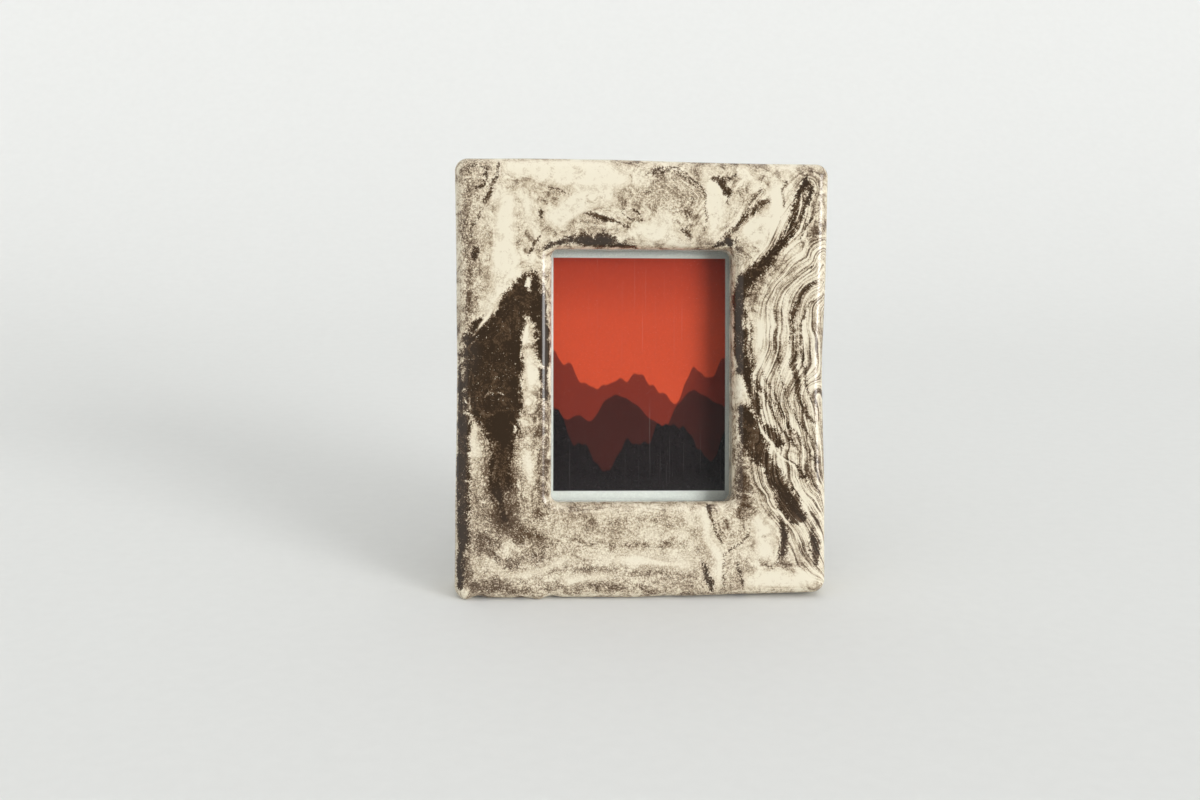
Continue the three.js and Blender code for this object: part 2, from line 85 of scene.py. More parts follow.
class Box(namedtuple("Box", "low high")):
    """The lowest and highest corners of a piece."""

    @property
    def half(self):
        """Half its size."""
        return (self.high - self.low) / 2

    @property
    def pivot(self):
        """Where the line along Y through its middle meets y = 0."""
        middle = (self.low + self.high) / 2
        return Vector((middle.x, 0, middle.z))


def box_in(place, node):
    """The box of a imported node, in the axes of the given place."""
    back = place.inverted()
    points = [back @ vertex.co for vertex in frame["nodes"][node].data.vertices]
    return Box(*(Vector([end(axis) for axis in zip(*points)]) for end in (min, max)))


# Properties


def linear(code):
    """A linear colour from an sRGB hex code."""
    channels = [int(code[start:start + 2], 16) / 255 for start in (1, 3, 5)]
    return (*(c / 12.92 if c <= 0.04045 else ((c + 0.055) / 1.055) ** 2.4 for c in channels), 1.0)


def length(name, millimetres, description):
    """A property that holds a length."""
    default = millimetres * MM
    return FloatProperty(name=name, description=description, default=default, unit="LENGTH", precision=5)


def lengths(name, millimetres, description):
    """A property that holds several lengths."""
    default = [value * MM for value in millimetres]
    return FloatVectorProperty(
        name=name, description=description, default=default, size=len(default), unit="LENGTH", precision=5
    )


def turn(name, degrees, description):
    """A property that holds an angle."""
    return FloatProperty(name=name, description=description, default=math.radians(degrees), subtype="ANGLE")


def light(name, default, description):
    """A property that holds a strength of light."""
    return FloatProperty(name=name, description=description, default=default, min=0)


def colour(name, code, description):
    """A property that holds a colour."""
    return FloatVectorProperty(
        name=name, description=description, default=linear(code), size=4, subtype="COLOR", min=0, max=1
    )


class ClaySettings(bpy.types.PropertyGroup):
    """The fired clay body."""

    sheet_gap: length("Sheet gap", 0.4, "Room round the sheets in the rabbet")
    side_wall: length("Side wall", 20.85, "Clay outside the rabbet at each side")
    top_wall: length("Top wall", 17.1, "Clay above the rabbet")
    foot_wall: length("Foot wall", 9.3, "Clay below the rabbet")
    lip: length("Lip", 8, "Clay in front of the pane")
    outline_corner: length("Outline corner", 3.4, "Corner radius of the outline")
    front_round: length("Front roundover", 2.9, "Radius of the outer front edge")
    back_round: length("Back roundover", 1.4, "Radius of the outer back edge")
    crown: length("Face crown", 0.5, "How far the face swells between its edges")
    window_corner: length("Window corner", 2, "Corner radius of the window")
    window_round: length("Window roundover", 3.2, "Radius of the window's mouth")
    top_stray: lengths("Top stray", (0.2, 0.4, 0.1, -0.3, -0.4), "Outward stray of the top, left to right")
    foot_stray: lengths("Foot stray", (0.3, 0.3, 0.4, -0.1, -0.7), "Outward stray of the foot, left to right")
    left_stray: lengths("Left stray", (0.4, 0.15, -0.25, -0.05, 0.4), "Outward stray of the left, upwards")
    right_stray: lengths("Right stray", (-0.15, -0.2, -0.8, 0, 0.65), "Outward stray of the right, upwards")
    cream: colour("Cream clay", "#E6DEC9", "White-firing clay under clear glaze")
    sand: colour("Sand", "#CDBFA6", "Cream with a little brown worked into it")
    taupe: colour("Taupe", "#94836E", "The two clays worked together")
    umber: colour("Umber", "#5B4A3A", "Brown with a little cream worked into it")
    brown: colour("Brown", "#52402E", "Dark clay with a breath of cream")
    dark: colour("Dark clay", "#34281C", "Iron-rich clay under clear glaze")


class PrintSettings(bpy.types.PropertyGroup):
    """The instant print behind the window."""

    side_border: length("Side border", 4, "White border beside the picture")
    top_border: length("Top border", 7, "White border above the picture")
    foot_border: length("Foot border", 17, "White border below the picture")
    side_reveal: length("Side reveal", 0.75, "Border that shows beside the picture")
    top_reveal: length("Top reveal", 1.75, "Border that shows above it")
    foot_reveal: length("Foot reveal", 2.4, "Border that shows below it")
    corner: length("Corner", 2, "Corner radius of the print")
    border: colour("Border", "#E8EBE4", "Cool white film border")
    glow: colour("Glow", "#D04E2D", "Sky over the hills")
    dusk: colour("Dusk", "#CB4B2D", "Upper part of the sky")
    night: colour("Night", "#A83722", "Top of the sky")
    far_hill: colour("Far hill", "#7C2A1C", "Farthest line of hills")
    middle_hill: colour("Middle hill", "#401A15", "Middle line of hills")
    near_hill: colour("Near hill", "#191314", "Nearest line of hills")


class HardwareSettings(bpy.types.PropertyGroup):
    """Board, strut, hinge and turn buttons at the back."""

    sheet_corner: length("Sheet corner", 1, "Corner radius of the pane, card and board")
    notch_radius: length("Notch radius", 6, "Radius of the thumb notch in the board")
    notch_depth: length("Notch depth", 4, "Depth of the thumb notch")
    strut_top: length("Strut top", 24, "Width of the strut at its hinge")
    strut_foot: length("Strut foot", 32, "Width of the strut where it would end below the table")
    pin_radius: length("Pin radius", 1, "Radius of the hinge pin")
    pin_head: length("Pin head", 0.7, "Length of each peened head of the pin")
    sheet_steel: length("Sheet steel", 0.8, "Thickness of the hinge leaves")
    leaf_corner: length("Leaf corner", 2, "Corner radius of a hinge leaf")
    middle_knuckle: length("Middle knuckle", 8, "Width of the strut leaf's knuckle")
    stop: length("Stop", 5, "Stop tongue above the knuckle")
    seat: length("Seat", 0.3, "Gap between faces that rest on each other")
    tab_heel: length("Tab heel", 4, "Radius of a turn button round its screw")
    tab_tip: length("Tab tip", 2.8, "Radius of a turn button's tip")
    slot_width: length("Slot width", 0.9, "Width of a screw's slot")
    slot_depth: length("Slot depth", 0.8, "Depth of a screw's slot")
    hardboard: colour("Hardboard", "#6A4E38", "Pressed hardboard")
    zinc: colour("Zinc", "#BFC3C5", "Zinc plated steel")
    brass: colour("Brass", "#CDB074", "Brass plate")
    nylon: colour("Nylon", "#DAD7CD", "Moulded nylon")
    card: colour("Card", "#9A958B", "Grey board")


class StageSettings(bpy.types.PropertyGroup):
    """Camera, lights and floor."""

    lens: FloatProperty(
        name="Lens", description="Focal length of the camera", default=50, subtype="DISTANCE_CAMERA"
    )
    camera: lengths("Camera", (-40.9, -448.6, -3.8), "Camera from the picture's centre, in the body's axes")
    yaw: turn("Yaw", 3.925, "Turn of the camera to the right of the body's own axis")
    pitch: turn("Pitch", -0.387, "Tilt of the camera from the body's own axis")
    roll: turn("Roll", 0.075, "Roll of the camera")
    paper: colour("Paper", "#DFE0DE", "Pale floor and backdrop")
    key: light("Key", 0.75, "Strength of the window light, in watts per square metre")
    key_spread: turn("Key spread", 26, "Angle that the window light fills")
    key_turn: turn("Key turn", 44, "How far to the right the window light stands")
    key_rise: turn("Key rise", 15, "How high the window light stands")
    window: light("Window", 8, "Brightness of the window itself, which the glaze mirrors")
    window_core: turn("Window core", 9.5, "Angle from the middle of the window out to which it is brightest")
    window_reach: turn("Window reach", 15.5, "Angle from its middle at which it has faded into the walls")
    skirting: turn("Skirting", 5, "Height up to which the walls are pale all round")
    horizon: light("Horizon", 0.74, "Brightness of the walls all round")
    ceiling: light("Ceiling", 0.9, "Brightness of the ceiling")
    far_end: light("Far end", 0.1, "Brightness of the dim far end of the room, which the pane mirrors")
    far_end_core: turn("Far end core", 13, "Angle from the middle of the far end out to which it is dimmest")
    far_end_reach: turn("Far end reach", 21, "Angle from its middle at which it has faded into the walls")


class PhotoFrameSettings(bpy.types.PropertyGroup):
    """All the settings of the photo frame."""

    clay: PointerProperty(type=ClaySettings)
    print: PointerProperty(type=PrintSettings)
    hardware: PointerProperty(type=HardwareSettings)
    stage: PointerProperty(type=StageSettings)


# Materials

# Noise textures keep mostly to this part of their range
NOISE_RANGE = {"From Min": 0.3, "From Max": 0.7}


def add(tree, kind, inputs=None, stops=(), **settings):
    """Adds a shader node, sets it up, gives or links its inputs and, on a ramp, its colour stops. Of sockets
    that share a name, the one in use is meant."""
    node = tree.nodes.new("ShaderNode" + kind)
    for name, value in settings.items():
        setattr(node, name, value)
    for key, value in (inputs or {}).items():
        named = [each for each in node.inputs if each.enabled and each.name == key]
        socket = named[0] if named else node.inputs[key]
        if isinstance(value, bpy.types.Node):
            value = next(each for each in value.outputs if each.enabled)
        if isinstance(value, bpy.types.NodeSocket):
            tree.links.new(value, socket)
        else:
            socket.default_value = value
    for step, (position, shade) in enumerate(stops):
        elements = node.color_ramp.elements
        if step == 0:
            elements.remove(elements[1])
            elements[0].position = position
        else:
            elements.new(position)
        elements[step].color = shade
    return node


def new_material(name, surface, *details):
    """A node material whose surface the given function makes from its details."""
    material = bpy.data.materials.new(name)
    material.use_nodes = True
    tree = material.node_tree
    tree.nodes.clear()
    add(tree, "OutputMaterial", {"Surface": surface(tree, *details)})
    return material


def mottled(tree, shade, texture, least, most, ends=NOISE_RANGE):
    """A shade that a texture darkens and lifts, between two shares of itself."""
    lift = add(tree, "MapRange", {"Value": texture, **ends, "To Min": least, "To Max": most})
    return add(tree, "VectorMath", {0: shade, "Scale": lift}, operation="SCALE")


# Attributes of the clay body: how far a place lies inside each kind of mass and vein and across the flow, in
# millimetres, then how folded and how grainy the clay is there, from 0 to 1
# The smoky layer holds grey-brown clay and also the painted shade along the foot's lower edge
CLAY_LAYERS = ("dark", "cream", "smoke", "vein", "pale_vein", "flow", "folded", "grain")

# How far twist and grit fray the edges of each kind of mass and vein, how far inside it its push begins and
# is full, in millimetres, and how much browner or paler that makes the clay
PUSHES = (
    # The smoky row darkens grey-brown clay and also the painted shade along the foot's lower edge
    ("smoke", 4, 3, -2, 6, 0.55),
    ("cream", 4, 2, -1.4, 1.4, -0.25),
    ("dark", 4, 2.5, -0.7, 0.7, 0.68),
    ("vein", 1.2, 1.5, -0.4, 0.3, 0.5),
    ("pale_vein", 1.2, 1.5, -0.4, 0.3, -0.8),
)

# The tone, from 0 for cream to 1 for dark, at which each shade of the clay is full
SHADES = (("cream", 0.12), ("sand", 0.32), ("taupe", 0.48), ("umber", 0.63), ("brown", 0.8), ("dark", 1))

# Length and width of a streak, in millimetres
STREAK_LENGTH, STREAK_WIDTH = 16, 0.52


def marbling(tree, clay):
    """The folded clays, as a shade and the twisted noise in it. The piece's own attributes say where the
    masses and veins of each clay lie. Noise drawn out along their flow streaks the clays into each other, and
    twisted noise and grit fray the edges of the masses."""
    place = add(tree, "TexCoord").outputs["Object"]
    layer = {name: add(tree, "Attribute", attribute_name=name).outputs["Fac"] for name in CLAY_LAYERS}
    across = add(tree, "Math", {0: layer["flow"], 1: STREAK_LENGTH * MM / STREAK_WIDTH}, operation="MULTIPLY")
    drawn_out = {"W": across, "Scale": 1 / (STREAK_LENGTH * MM), "Detail": 5, "Roughness": 0.66}
    streak = add(tree, "TexNoise", {"Vector": place, **drawn_out}, noise_dimensions="4D")
    twisted = {"Scale": 1 / (3.4 * MM), "Detail": 6, "Roughness": 0.64, "Distortion": 1.3}
    twist = add(tree, "TexNoise", {"Vector": place, **twisted})
    drift = add(tree, "TexNoise", {"Vector": place, "Scale": 1 / (9 * MM), "Detail": 3})
    gritty = {"Scale": 1 / (0.44 * MM), "Detail": 2, "Roughness": 0.6, "Distortion": 0.6}
    grit = add(tree, "TexNoise", {"Vector": place, **gritty})
    wander, swirl, sand = [
        add(tree, "Math", {0: texture, 1: 0.5}, operation="SUBTRACT") for texture in (streak, twist, grit)
    ]

    # The tone where neither clay was laid alone, with the least and most that each noise adds to it
    tone = add(tree, "Math", {0: drift, 1: 0.7, 2: -0.02}, operation="MULTIPLY_ADD")
    stirred = add(tree, "Math", {0: layer["folded"], 1: layer["grain"]}, operation="MAXIMUM")
    amounts = (
        (wander, layer["folded"], 0.6, 3.2),
        (swirl, stirred, 1.35, 0.6),
        (sand, layer["grain"], 0.9, 1.2),
    )
    for texture, share, least, most in amounts:
        amount = add(tree, "MapRange", {"Value": share, "To Min": least, "To Max": most})
        tone = add(tree, "Math", {0: texture, 1: amount, 2: tone}, operation="MULTIPLY_ADD")

    # The masses and veins push it either way, and pale specks of grit lie over all
    for name, twisting, sanding, outer, inner, push in PUSHES:
        frayed = layer[name]
        for texture, fray in ((swirl, twisting), (sand, sanding)):
            frayed = add(tree, "Math", {0: texture, 1: fray, 2: frayed}, operation="MULTIPLY_ADD")
        ends = {"From Min": outer, "From Max": inner, "To Max": push}
        inside = add(tree, "MapRange", {"Value": frayed, **ends}, interpolation_type="SMOOTHSTEP")
        tone = add(tree, "Math", {0: tone, 1: inside}, operation="ADD")
    specks = add(tree, "MapRange", {"Value": grit, "From Min": 0.64, "From Max": 0.72, "To Max": -0.9})
    tone = add(tree, "Math", {0: tone, 1: specks}, operation="ADD")
    stops = [(position, getattr(clay, name)) for name, position in SHADES]
    return add(tree, "ValToRGB", {0: tone}, stops), twist


def glazed_clay(tree, clay):
    """Agateware under a clear earthenware glaze: two clays folded together, faintly uneven, sealed under a
    smooth glassy coat that mirrors the room."""
    shade, twist = marbling(tree, clay)
    place = add(tree, "TexCoord").outputs["Object"]
    ripple = add(tree, "TexNoise", {"Vector": place, "Scale": 1 / (9 * MM), "Detail": 2})
    bump = add(tree, "Bump", {"Height": ripple, "Strength": 0.5, "Distance": 0.4 * MM})
    shine = add(tree, "MapRange", {"Value": twist, **NOISE_RANGE, "To Min": 0.08, "To Max": 0.2})
    fired = {"Base Color": shade, "Roughness": shine, "Normal": bump, "Specular IOR Level": 0}
    glaze = {"Coat Weight": 1, "Coat Roughness": 0.06}
    return add(tree, "BsdfPrincipled", {**fired, **glaze})


def bare_clay(tree, clay):
    """The same agateware left bare where it was wiped for the kiln shelf: dry, chalky and slightly rough."""
    shade, twist = marbling(tree, clay)
    bump = add(tree, "Bump", {"Height": twist, "Strength": 0.4, "Distance": 0.15 * MM})
    dry = {"Base Color": shade, "Roughness": 0.78, "IOR": 1.5, "Normal": bump}
    return add(tree, "BsdfPrincipled", dry)


def float_glass(tree):
    """Clear float glass: it mirrors a little and lets lamps through to the print."""
    tint = {"Base Color": linear("#FAFCFB"), "Roughness": 0.02, "IOR": 1.5, "Transmission Weight": 1}
    glass = add(tree, "BsdfPrincipled", tint)
    clear = add(tree, "BsdfTransparent")
    lamp = add(tree, "LightPath").outputs["Is Shadow Ray"]
    return add(tree, "MixShader", {0: lamp, 1: glass, 2: clear})


# Lines of hills in the picture, far to near: the height of the crest and its rise as shares of the picture's
# height, the spacing of the peaks in millimetres and the place in the noise where the line begins
HILLS = (("far_hill", 0.5, 0.3, 17, 3), ("middle_hill", 0.36, 0.34, 23, 11), ("near_hill", 0.2, 0.3, 15, 29))

# How soft the crests are, as a share of the picture's height, and how soft the picture's edge is
CREST_BLUR, EDGE_BLUR = 0.004, 0.1 * MM


def instant_film(tree, film, picture):
    """Gloss instant film: a cool white border round a soft, slightly grainy picture of hills at dusk, with
    the fine upright scratches that such film picks up."""
    place = add(tree, "TexCoord").outputs["Object"]
    half = picture.half
    shift = LEANING.inverted().translation - (picture.low + picture.high) / 2
    upright = add(tree, "Mapping", {"Vector": place, "Location": shift, "Rotation": (LEAN, 0, 0)})
    across, _, up = add(tree, "SeparateXYZ", {0: upright}).outputs
    height = add(tree, "MapRange", {"Value": up, "From Min": -half.z, "From Max": half.z})
    layers = []
    for hill, base, rise, spacing, start in HILLS:
        walk = add(tree, "Math", {0: across, 1: 1 / (spacing * MM), 2: start}, operation="MULTIPLY_ADD")
        jagged = {"W": walk, "Scale": 1, "Detail": 3, "Roughness": 0.4}
        crest = add(tree, "TexNoise", jagged, noise_dimensions="1D")
        ends = {"To Min": base - rise / 2, "To Max": base + rise / 2}
        ridge = add(tree, "MapRange", {"Value": crest, **NOISE_RANGE, **ends})
        under = add(tree, "Math", {0: ridge, 1: height}, operation="SUBTRACT")
        inside = add(tree, "MapRange", {"Value": under, "From Min": -CREST_BLUR, "From Max": CREST_BLUR})
        layers.append((inside, getattr(film, hill)))
    past = []
    for away, edge in ((across, half.x), (up, half.z)):
        away = add(tree, "Math", {0: away}, operation="ABSOLUTE")
        past.append(add(tree, "Math", {0: away, 1: edge}, operation="SUBTRACT"))
    outside = add(tree, "Math", {0: past[0], 1: past[1]}, operation="MAXIMUM")
    margin = add(tree, "MapRange", {"Value": outside, "From Min": -EDGE_BLUR, "From Max": EDGE_BLUR})
    layers.append((margin, film.border))
    shade = add(tree, "ValToRGB", {0: height}, ((0.3, film.glow), (0.74, film.dusk), (1, film.night)))
    for share, layer in layers:
        shade = add(tree, "Mix", {"Factor": share, "A": shade, "B": layer}, data_type="RGBA")

    # Grain of the film, drawn as coarse as the render can show, and upright scratches
    grain = add(tree, "TexNoise", {"Vector": place, "Scale": 1 / (0.5 * MM), "Detail": 2})
    shade = mottled(tree, shade, grain, 0.94, 1.06)
    drawn_out = add(tree, "Mapping", {"Vector": upright, "Scale": (1 / (0.5 * MM), 1, 1 / (40 * MM))})
    scratch = add(tree, "TexNoise", {"Vector": drawn_out, "Scale": 1, "Detail": 2})
    pale = add(tree, "MapRange", {"Value": scratch, "From Min": 0.66, "From Max": 0.76, "To Max": 0.06})
    shade = add(tree, "Mix", {"Factor": pale, "A": shade, "B": film.border}, data_type="RGBA")
    shine = add(tree, "MapRange", {"Value": scratch, "To Min": 0.2, "To Max": 0.28})
    return add(tree, "BsdfPrincipled", {"Base Color": shade, "Roughness": shine, "IOR": 1.35})


def fibre_board(tree, base, fibre, rough):
    """Pressed wood or paper fibre: a mottled, slightly felted face with darker flecks."""
    place = add(tree, "TexCoord").outputs["Object"]
    flecks = add(tree, "TexNoise", {"Vector": place, "Scale": 1 / fibre, "Detail": 5, "Roughness": 0.7})
    drift = add(tree, "TexNoise", {"Vector": place, "Scale": 1 / (14 * MM), "Detail": 2})
    mottle = add(tree, "Math", {0: flecks, 1: drift}, operation="ADD")
    shade = mottled(tree, base[:3], mottle, 0.62, 1.3, {"From Min": 0.65, "From Max": 1.35})
    bump = add(tree, "Bump", {"Height": flecks, "Strength": 0.5, "Distance": 0.1 * MM})
    ends = {**NOISE_RANGE, "To Min": rough + 0.1, "To Max": rough - 0.1}
    shine = add(tree, "MapRange", {"Value": flecks, **ends})
    return add(tree, "BsdfPrincipled", {"Base Color": shade, "Roughness": shine, "Normal": bump})


def plated_metal(tree, base, rough, blotch):
    """Barrel plated sheet metal: a satin shine with faint cloudy patches and fine tumbling scratches."""
    place = add(tree, "TexCoord").outputs["Object"]
    patches = add(tree, "TexNoise", {"Vector": place, "Scale": 1 / blotch, "Detail": 4})
    scratched = {"Scale": 1 / (0.5 * MM), "Detail": 3, "Distortion": 1.5}
    marks = add(tree, "TexNoise", {"Vector": place, **scratched})
    shade = mottled(tree, base[:3], patches, 0.86, 1.06)
    ends = {**NOISE_RANGE, "To Min": rough - 0.08, "To Max": rough + 0.1}
    shine = add(tree, "MapRange", {"Value": patches, **ends})
    bump = add(tree, "Bump", {"Height": marks, "Strength": 0.08, "Distance": 0.03 * MM})
    metal = {"Base Color": shade, "Metallic": 1, "Roughness": shine, "Normal": bump}
    return add(tree, "BsdfPrincipled", metal)


def moulded_nylon(tree, hardware):
    """Moulded nylon: pale, waxy and faintly uneven."""
    place = add(tree, "TexCoord").outputs["Object"]
    cloud = add(tree, "TexNoise", {"Vector": place, "Scale": 1 / (3 * MM), "Detail": 3})
    shade = mottled(tree, hardware.nylon[:3], cloud, 0.93, 1.03)
    shine = add(tree, "MapRange", {"Value": cloud, "To Min": 0.4, "To Max": 0.6})
    return add(tree, "BsdfPrincipled", {"Base Color": shade, "Roughness": shine, "IOR": 1.53})


def studio_paper(tree, stage):
    """Matt seamless paper: an even pale sheet with the faintest tooth."""
    place = add(tree, "TexCoord").outputs["Object"]
    tooth = add(tree, "TexNoise", {"Vector": place, "Scale": 1 / (4 * MM), "Detail": 4})
    shade = mottled(tree, stage.paper[:3], tooth, 0.99, 1.01)
    return add(tree, "BsdfPrincipled", {"Base Color": shade, "Roughness": 0.95})


# Mesh tools

# Points this close are one point. Faces that meet at less than FLAT are one face, and edges where faces meet
# at more than SHARP are rounded
SAME_PLACE = 1e-7
FLAT, SHARP = math.radians(0.5), math.radians(50)

# How far a cutter reaches past what it cuts
OVERCUT = MM

# Stands a circle or a rod along Y
ALONG_Y = Matrix.Rotation(math.pi / 2, 4, "X")


def linked(name, data):
    """A new object in the scene."""
    thing = bpy.data.objects.new(name, data)
    bpy.context.scene.collection.objects.link(thing)
    return thing


def meshed(mesh, name):
    """A new object in the scene from a mesh, which is used up."""
    data = bpy.data.meshes.new(name)
    mesh.to_mesh(data)
    mesh.free()
    return linked(name, data)


def finished(mesh, name, place, body, node, slot, *materials, crease=18):
    """Closes a mesh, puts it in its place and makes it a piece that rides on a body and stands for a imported
    node. Faces that meet at more than the crease, in degrees, are shaded apart."""
    bmesh.ops.remove_doubles(mesh, verts=mesh.verts, dist=SAME_PLACE)
    bmesh.ops.recalc_face_normals(mesh, faces=mesh.faces)
    bmesh.ops.transform(mesh, matrix=place, verts=mesh.verts)
    if not all(edge.is_manifold for edge in mesh.edges):
        raise RuntimeError(f"{name} isn't closed")
    piece = meshed(mesh, name)
    piece.data.shade_smooth()
    piece.data.set_sharp_from_angle(angle=math.radians(crease))
    for material in materials:
        piece.data.materials.append(material)
    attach(piece, body)
    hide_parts(node)
    return piece


def combined(mesh, tool, operation):
    """One mesh cut by another or joined to it. Both are used up."""
    for each in (mesh, tool):
        bmesh.ops.recalc_face_normals(each, faces=each.faces)
    base, other = meshed(mesh, "base"), meshed(tool, "tool")
    modifier = base.modifiers.new("combined", "BOOLEAN")
    modifier.object = other
    modifier.operation = operation
    graph = bpy.context.evaluated_depsgraph_get()
    data = bpy.data.meshes.new_from_object(base.evaluated_get(graph))
    result = bmesh.new()
    result.from_mesh(data)
    for used in (data, base.data, other.data):
        bpy.data.meshes.remove(used)
    return result


def chain(mesh, points):
    """Adds points and the edges from each to the next."""
    verts = [mesh.verts.new(point) for point in points]
    return verts, [mesh.edges.new(pair) for pair in zip(verts, verts[1:])]


def extruded(mesh, edges, step=(0, 0, 0)):
    """Extrudes edges by a step and gives the new points and edges."""
    grown = bmesh.ops.extrude_edge_only(mesh, edges=edges)["geom"]
    verts = [each for each in grown if isinstance(each, bmesh.types.BMVert)]
    bmesh.ops.translate(mesh, verts=verts, vec=step)
    return verts, [each for each in grown if isinstance(each, bmesh.types.BMEdge)]


def turned(profile, steps=48):
    """A piece turned about the Y axis from pairs of radius and y."""
    mesh = bmesh.new()
    verts, edges = chain(mesh, [(radius, y, 0) for radius, y in profile])
    whole = 2 * math.pi
    bmesh.ops.spin(mesh, geom=verts + edges, axis=(0, 1, 0), angle=whole, steps=steps, use_merge=True)
    bmesh.ops.remove_doubles(mesh, verts=mesh.verts, dist=SAME_PLACE)
    return mesh


def arc(height, wide, high, start, end, steps):
    """Points of an oval arc about a point of the Y axis, as pairs of radius and y."""
    angles = [start + (end - start) * step / steps for step in range(steps + 1)]
    return [(wide * math.cos(angle), height + high * math.sin(angle)) for angle in angles]


def rods(places, radius, low, high):
    """Round bars along Y through the given places, to cut holes with."""
    mesh = bmesh.new()
    for place in places:
        where = Matrix.Translation((place.x, (low + high) / 2, place.z)) @ ALONG_Y
        bmesh.ops.create_cone(
            mesh, cap_ends=True, segments=48, radius1=radius, radius2=radius, depth=high - low, matrix=where
        )
    return mesh


def drilled(mesh, box, places, radius):
    """A plate that fills a box, with round holes right through it."""
    return combined(mesh, rods(places, radius, box.low.y - OVERCUT, box.high.y + OVERCUT), "DIFFERENCE")


def rounded(mesh, geom, radius, segments, affect="EDGES"):
    """Rounds edges, or the corners of a flat outline."""
    bmesh.ops.bevel(
        mesh,
        geom=geom,
        offset=radius,
        offset_type="OFFSET",
        segments=segments,
        profile=0.5,
        affect=affect,
        clamp_overlap=True,
        material=-1,
    )


def softened(mesh, radius, segments):
    """Rounds every sharp edge a little."""
    edges = [edge for edge in mesh.edges if edge.is_manifold and edge.calc_face_angle() > SHARP]
    rounded(mesh, edges, radius, segments)


def flats_joined(mesh):
    """Joins the faces that lie in one plane."""
    bmesh.ops.dissolve_limit(mesh, angle_limit=FLAT, verts=mesh.verts, edges=mesh.edges)


def plate(box, corner=0, top=None):
    """A flat plate along XZ that fills a box, with rounded corners. Its top may have its own half width."""
    left, right = (box.low.x, box.high.x) if top is None else (-top, top)
    outline = ((box.low.x, box.low.z), (box.high.x, box.low.z), (right, box.high.z), (left, box.high.z))
    mesh = bmesh.new()
    verts = [mesh.verts.new((x, box.low.y, z)) for x, z in outline]
    mesh.faces.new(verts)
    if corner:
        rounded(mesh, verts, corner, 8, "VERTICES")
    grown = bmesh.ops.extrude_face_region(mesh, geom=mesh.faces[:])["geom"]
    moved = [each for each in grown if isinstance(each, bmesh.types.BMVert)]
    bmesh.ops.translate(mesh, verts=moved, vec=(0, box.high.y - box.low.y, 0))
    bmesh.ops.recalc_face_normals(mesh, faces=mesh.faces)
    return mesh


def trimmed_at_table(mesh):
    """Cuts away what lies below the table and closes the cut."""
    everything = mesh.verts[:] + mesh.edges[:] + mesh.faces[:]
    bmesh.ops.bisect_plane(mesh, geom=everything, dist=SAME_PLACE, plane_no=(0, 0, 1), clear_inner=True)
    bmesh.ops.holes_fill(mesh, edges=[edge for edge in mesh.edges if edge.is_boundary], sides=0)


# Clay body

# A round-cornered ring of the body: its sizes, then how much of the outline's stray and of the face's swell
# it takes
Ring = namedtuple("Ring", "half_width half_height corner middle depth loose hand")

# Steps of the clay's mesh round each corner and along each side of a ring
CORNER_STEPS, SIDE_STEPS = 10, 190
CORNER_SHARE = CORNER_STEPS / (CORNER_STEPS + SIDE_STEPS)

# Lumps that clay squeezed under the foot leaves on its front edge: place across, drop and half width, and the
# slow swells of the hand-made face: height and width. All in millimetres
FOOT_LUMPS = ((-46.4, 0.5, 1.6), (-42.8, -0.5, 2), (-27.4, 0.5, 1.6), (-23.6, -0.5, 1.8), (6, -0.25, 4))
SWELLS = ((0.16, 17), (0.04, 6))


def picture_box(film):
    """The picture inside the print's border, in the leaning body's axes."""
    sheet = box_in(LEANING, "photo_print")
    low = sheet.low + Vector((film.side_border, 0, film.foot_border))
    high = sheet.high - Vector((film.side_border, 0, film.top_border))
    return Box(low, high)


def spline(steps, place):
    """A smooth curve through even steps, read at a place from -1 to 1."""
    spot = max(0, min(1, (place + 1) / 2)) * (len(steps) - 1)
    first = min(int(spot), len(steps) - 2)
    part = spot - first
    start, end = steps[first], steps[first + 1]
    leave = (end - steps[max(first - 1, 0)]) / 2
    arrive = (steps[min(first + 2, len(steps) - 1)] - start) / 2
    cubic = (2 * (start - end) + leave + arrive) * part ** 3
    square = (3 * (end - start) - 2 * leave - arrive) * part ** 2
    return cubic + square + leave * part + start


def ring_place(ring, share):
    """A point on a ring, by its share of the way round from the upper right corner by the left."""
    side, part = divmod(share * 4, 1)
    bend = (side + min(part / CORNER_SHARE, 1)) * math.pi / 2
    along = max(part - CORNER_SHARE, 0) / (1 - CORNER_SHARE)
    x = (ring.half_width - ring.corner) * (1 if side in (0, 3) else -1)
    z = (ring.half_height - ring.corner) * (1 if side < 2 else -1)
    if side % 2 == 0:
        x *= 1 - 2 * along
    else:
        z *= 1 - 2 * along
    x += ring.corner * math.cos(bend)
    z += ring.corner * math.sin(bend)
    return Vector((x, ring.depth, ring.middle + z))


def rings_between(first, last, steps):
    """The rings between two, both left out."""
    shares = [step / steps for step in range(1, steps)]
    return [Ring(*(a + (b - a) * share for a, b in zip(first, last))) for share in shares]


def quarter(steps):
    """The sines and cosines of a quarter turn in even steps."""
    angles = [step / steps * math.pi / 2 for step in range(steps + 1)]
    return [(math.sin(angle), math.cos(angle)) for angle in angles]


